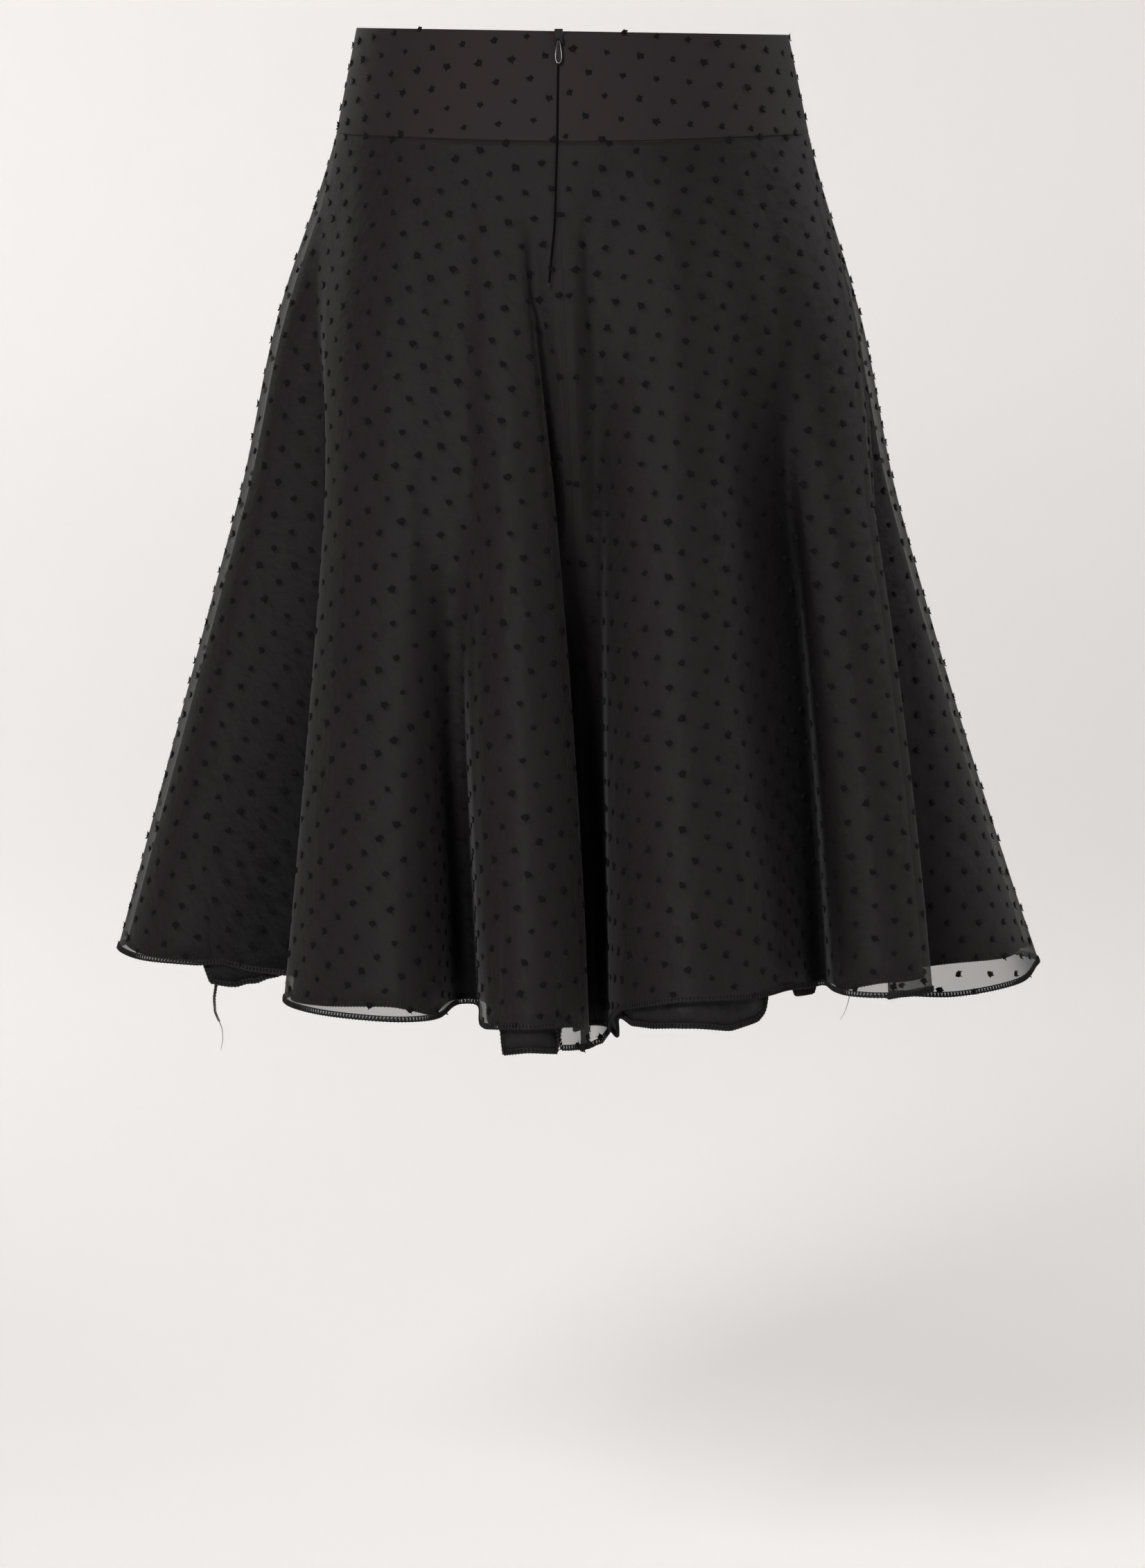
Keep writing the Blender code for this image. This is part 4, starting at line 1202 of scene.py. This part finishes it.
# How far down the slit is, and where it lies there
SLIT_LEVELS, SLIT_PLACES = (0.068, 0.120, 0.162), (-0.0096, -0.0112, -0.0152)
SLIT_REACH = 18
KNOT_RADIUS, KNOT_SHAPE = 0.0015, (0.8, 0.6, 1.3)
near_zip = np.arange(-SLIT_REACH, SLIT_REACH + 1)
slit_rows = skirt[skirt[:, 0, 2] > SLIT_END][:, near_zip]
slit_x = np.interp(-slit_rows[:, SLIT_REACH, 2], SLIT_LEVELS, SLIT_PLACES)
slit_below = np.array([
    [np.interp(x, row[:, 0], row[:, axis]) for axis in range(3)] for x, row in zip(slit_x, slit_rows)
]) - (0.0, SLIT_OUT, 0.0)
slit_in_band = band_point(
    np.full(SLIT_BAND_POINTS, ZIP_DEG), np.linspace(*SLIT_BAND_SHARES, SLIT_BAND_POINTS)
) - (0.0, SLIT_OUT, 0.0)
slit_path = np.concatenate((slit_in_band, slit_below))
slit = add_thread("zip_slit", slit_path, np.full(len(slit_path), SLIT_RADIUS), TAPE)
bpy.ops.mesh.primitive_ico_sphere_add(subdivisions=2, radius=KNOT_RADIUS, location=slit_path[-1])
knot = bpy.context.object
knot.name = "slit_knot"
open_edit(knot)
bpy.ops.mesh.select_all(action="SELECT")
bpy.ops.transform.resize(value=KNOT_SHAPE)
bpy.ops.object.mode_set(mode="OBJECT")
bpy.ops.object.transform_apply(location=True, rotation=False, scale=False)
knot.data.materials.append(THREAD)
print("points of the slit:", len(slit_path))

# %% [markdown]
# A coil of teeth runs down the inner side of the chain. It is one modelled tooth, with a copy at
# each step of a line that is cast on the chain.

# %% Coil of teeth
TOOTH_SIZE = (0.0046, 0.0011, 0.0010)
TOOTH_BEVEL_SHARE = 0.3
TOOTH_PITCH = 0.0015


def model_tooth():
    """One turn of the coil: a bar across the chain with bevelled edges."""
    bpy.ops.mesh.primitive_cube_add(size=1.0)
    made = bpy.context.object
    open_edit(made)
    bpy.ops.transform.resize(value=TOOTH_SIZE)
    bpy.ops.mesh.bevel(offset=TOOTH_SIZE[2] * TOOTH_BEVEL_SHARE, segments=1, affect="EDGES")
    bpy.ops.mesh.quads_convert_to_tris()
    bpy.ops.object.mode_set(mode="OBJECT")
    return made


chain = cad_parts["zip_chain"]
chain_points = [chain.matrix_world @ vert.co for vert in chain.data.vertices]
chain_tree = BVHTree.FromPolygons(chain_points, [tuple(face.vertices) for face in chain.data.polygons])
chain_low, chain_high = (pick(point.z for point in chain_points) for pick in (min, max))
chain_middle = sum(point.x for point in chain_points) / len(chain_points)
tooth_points, tooth_faces = points_and_faces(model_tooth())
tooth_places = []
for level in np.arange(chain_low + 2 * TOOTH_PITCH, chain_high - TOOTH_PITCH, TOOTH_PITCH):
    hit = chain_tree.ray_cast(Vector((chain_middle, 0.0, level)), Vector((0.0, -1.0, 0.0)))[0]
    if hit:
        tooth_places.append(hit)
tooth_places = np.array(tooth_places)
tooth_frames = np.broadcast_to(np.eye(3), (len(tooth_places), 3, 3))
teeth = copies("zip_teeth", tooth_points, tooth_faces, tooth_places, tooth_frames, ENAMEL)

# %% [markdown]
# A bright metal rim along the pull's edge is a painted highlight that stands in for the glints on its
# outline. The rim follows the outline that the imported pull shows from behind the wearer.

# %% Painted highlight rim of the pull
RIM_RADIUS, RIM_INSET, RIM_SEARCH, RIM_SINK = 0.00022, 0.88, 0.0004, 0.5


def front_rim(node):
    """A closed path a little inside the outline that a node shows from behind the wearer."""
    spots = np.array([node.matrix_world @ vert.co for vert in node.data.vertices])
    ring = spots[convex_hull_2d(spots[:, (0, 2)].tolist())]
    for corner in ring:
        beside = np.hypot(spots[:, 0] - corner[0], spots[:, 2] - corner[2]) < RIM_SEARCH
        corner[1] = spots[beside, 1].min() - RIM_RADIUS * RIM_SINK
    middle = ring.mean(axis=0)
    ring[:, (0, 2)] = middle[[0, 2]] + (ring - middle)[:, (0, 2)] * RIM_INSET
    return np.concatenate((ring, ring[:1]))


pull_rim_path = front_rim(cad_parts["zip_pull"])
pull_rim = add_thread("pull_rim", pull_rim_path, np.full(len(pull_rim_path), RIM_RADIUS), PULL_HIGHLIGHT_METAL)
print("points of the rim:", len(pull_rim_path))

# %% [markdown]
# A long end of hem thread hangs from the lining's left tab, with two strands twisted together
# at its top and a single one below. A short end hangs at the right.

# %% Loose threads
LONG_END = ((-231, -84, -612), (-232.5, -84, -622), (-232, -84, -631), (-229.5, -84, -637))
LONG_TAIL = ((-229.5, -84, -637), (-227.5, -84, -642), (-227, -84, -649), (-228.5, -84, -656))
SHORT_END = ((176.7, -148, -608), (175.5, -150, -613), (173.5, -151, -619), (170.6, -151, -624))
TWIST_RADIUS, TWIST_TURNS = 0.0006, 7
# Each thread: its line, its steps, its radius at both ends, and its phase where it is twisted
LOOSE_THREADS = {
    "loose_end_a": (LONG_END, 60, 0.0006, 0.0003, 0.0),
    "loose_end_b": (LONG_END, 60, 0.0006, 0.0003, math.pi),
    "loose_end_tail": (LONG_TAIL, 30, 0.00028, 0.00012, None),
    "loose_end_right": (SHORT_END, 24, 0.00022, 0.00012, None),
}
loose = []
for name, (line, count, first, last, phase) in LOOSE_THREADS.items():
    path = smooth_path(line, count)
    if phase is not None:
        path = twisted(path, TWIST_RADIUS, TWIST_TURNS, phase)
    loose.append(add_thread(name, path, np.linspace(first, last, count), THREAD))
print("teeth:", len(tooth_places), "threads:", len(loose) + 1)

# %% [markdown]
# The studio has a pale sweep: a floor that curves up into a wall before and behind, so no line
# shows past the skirt from either side. From its back the paper can be seen through, so it hides
# the skirt from no camera. One large soft lamp on the left is the main light, a weak one fills
# the right, two light the wall and two the far side of the skirt. The paper has a glow that only
# the camera sees, so the backdrop stays pale in each view and the skirt keeps its dark tone.

# %% Studio
FLOOR_LEVEL = -1.12
SWEEP_HALF_WIDTH = 9.0
SWEEP_CURVE = [(1.6, 0.0), (3.3, 0.0), (4.0, 0.12), (4.45, 0.45), (4.6, 1.0), (4.6, 6.0)]
SWEEP_BEHIND = 1.6
PAPER_COLOR = (0.88, 0.855, 0.84)
PAPER_GLOW, PAPER_GLOW_FAR = 0.22, 0.70
GLOW_COLOR = (1.0, 0.965, 0.94)
# Where the glow starts to rise and where it is full, to the sides and towards the camera
GLOW_ASIDE, GLOW_BEFORE = (0.9, 3.5), (-0.3, -3.0)
SWEEP_LEVELS = 3

sweep_profile = [(-y - SWEEP_BEHIND, z) for y, z in SWEEP_CURVE[::-1]] + SWEEP_CURVE
sweep_points = np.array([(x, y, z + FLOOR_LEVEL) for y, z in sweep_profile
                         for x in (-SWEEP_HALF_WIDTH, SWEEP_HALF_WIDTH)])
sweep_faces = np.array([(2 * i, 2 * i + 1, 2 * i + 3, 2 * i + 2) for i in range(len(sweep_profile) - 1)])


def seen_by_camera(tree):
    return tree.nodes.new("ShaderNodeLightPath").outputs["Is Camera Ray"]


def paper_finish():
    """Pale paper with soft clouds, lifted by a glow for the camera alone, most where it is dark."""
    finish, tree, shader = new_finish("backdrop_paper", PAPER_COLOR, 0.9)
    here = tree.nodes.new("ShaderNodeTexCoord").outputs["Object"]
    clouds = add_group(tree, CLOUDS, Vector=here, Amount=0.02)
    tinted(tree, shader, PAPER_COLOR, clouds.outputs["Tone"])
    parts = new_node(tree, "ShaderNodeSeparateXYZ", Vector=here)
    aside = math_node(tree, "ABSOLUTE", parts.outputs[0])
    reaches = [
        new_node(tree, "ShaderNodeMapRange", Value=distance, From_Min=start, From_Max=end,
                 To_Min=PAPER_GLOW, To_Max=PAPER_GLOW_FAR).outputs["Result"]
        for distance, (start, end) in ((aside, GLOW_ASIDE), (parts.outputs[1], GLOW_BEFORE))
    ]
    needed = math_node(tree, "MAXIMUM", *reaches)
    behind = tree.nodes.new("ShaderNodeNewGeometry").outputs["Backfacing"]
    fed(tree, shader, Emission_Color=(*GLOW_COLOR, 1.0),
        Emission_Strength=math_node(tree, "MULTIPLY", seen_by_camera(tree), needed),
        Alpha=math_node(tree, "SUBTRACT", 1.0, behind))
    return finish


sweep = add_mesh("backdrop", sweep_points, sweep_faces, paper_finish())
rounding = sweep.modifiers.new("rounding", "SUBSURF")
rounding.levels = SWEEP_LEVELS
rounding.render_levels = SWEEP_LEVELS

WORLD_LIGHT, WORLD_SEEN = 0.02, 0.72
world = bpy.data.worlds.new("studio")
world.use_nodes = True
sky_tree = world.node_tree
strength = math_node(sky_tree, "MULTIPLY_ADD", seen_by_camera(sky_tree), WORLD_SEEN - WORLD_LIGHT,
                     WORLD_LIGHT)
fed(sky_tree, sky_tree.nodes["Background"], Color=(1.0, 0.985, 0.97, 1.0), Strength=strength)
bpy.context.scene.world = world

# Each lamp: its place, what it looks at, its size in metres and its power in watts
LAMPS = {
    "key": ((-1.4, -3.6, 1.5), (0.0, 0.0, -0.35), 1.0, 142.0),
    "fill": ((2.4, -3.1, 1.2), (0.0, 0.0, -0.35), 1.0, 24.0),
    "wall_left": ((-2.8, 2.6, 0.2), (-0.8, 4.6, -0.6), 1.6, 20.0),
    "wall_right": ((2.8, 2.6, 0.2), (0.8, 4.6, -0.6), 1.6, 2.0),
    "far_left": ((-2.4, 3.2, 1.4), (0.0, 0.0, -0.35), 1.0, 36.0),
    "far_right": ((3.0, 1.4, 1.3), (0.0, 0.0, -0.35), 1.0, 50.0),
}
for name, (spot, target, size, power) in LAMPS.items():
    lamp_data = bpy.data.lights.new(name, "AREA")
    lamp_data.size = size
    lamp_data.energy = power
    lamp = bpy.data.objects.new(name, lamp_data)
    lamp.location = spot
    aim = Vector(target) - Vector(spot)
    lamp.rotation_euler = aim.to_track_quat("-Z", "Y").to_euler()
    lamp.visible_camera = False
    bpy.context.scene.collection.objects.link(lamp)
bpy.context.scene.view_settings.view_transform = "Standard"
print("lamps:", list(LAMPS))

# %% [markdown]
# Last, each piece is attached to the body that it moves with, and the imported solid of each cloth sheet
# is hidden.


for name, made in sheets.items():
    kind, side = name.split("_", 1)
    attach(made, "garment")
    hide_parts(name)
    if kind == "band":
        flat = band_flats[side]
for made in dots.values():
    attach(made, "garment")
sewing = [(chiffon_overlock, "chiffon"), (lining_overlock, "satin"),
          (chiffon_band, "chiffon"), (lining_band, "satin"), (slit, "tape"), (knot, "tape"),
          (teeth, "tape")] + [(made, "satin") for made in loose]
for made, slot in sewing:
    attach(made, "garment")
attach(pull_rim, "zip_pull")
print("sheets:", sorted(sheets))
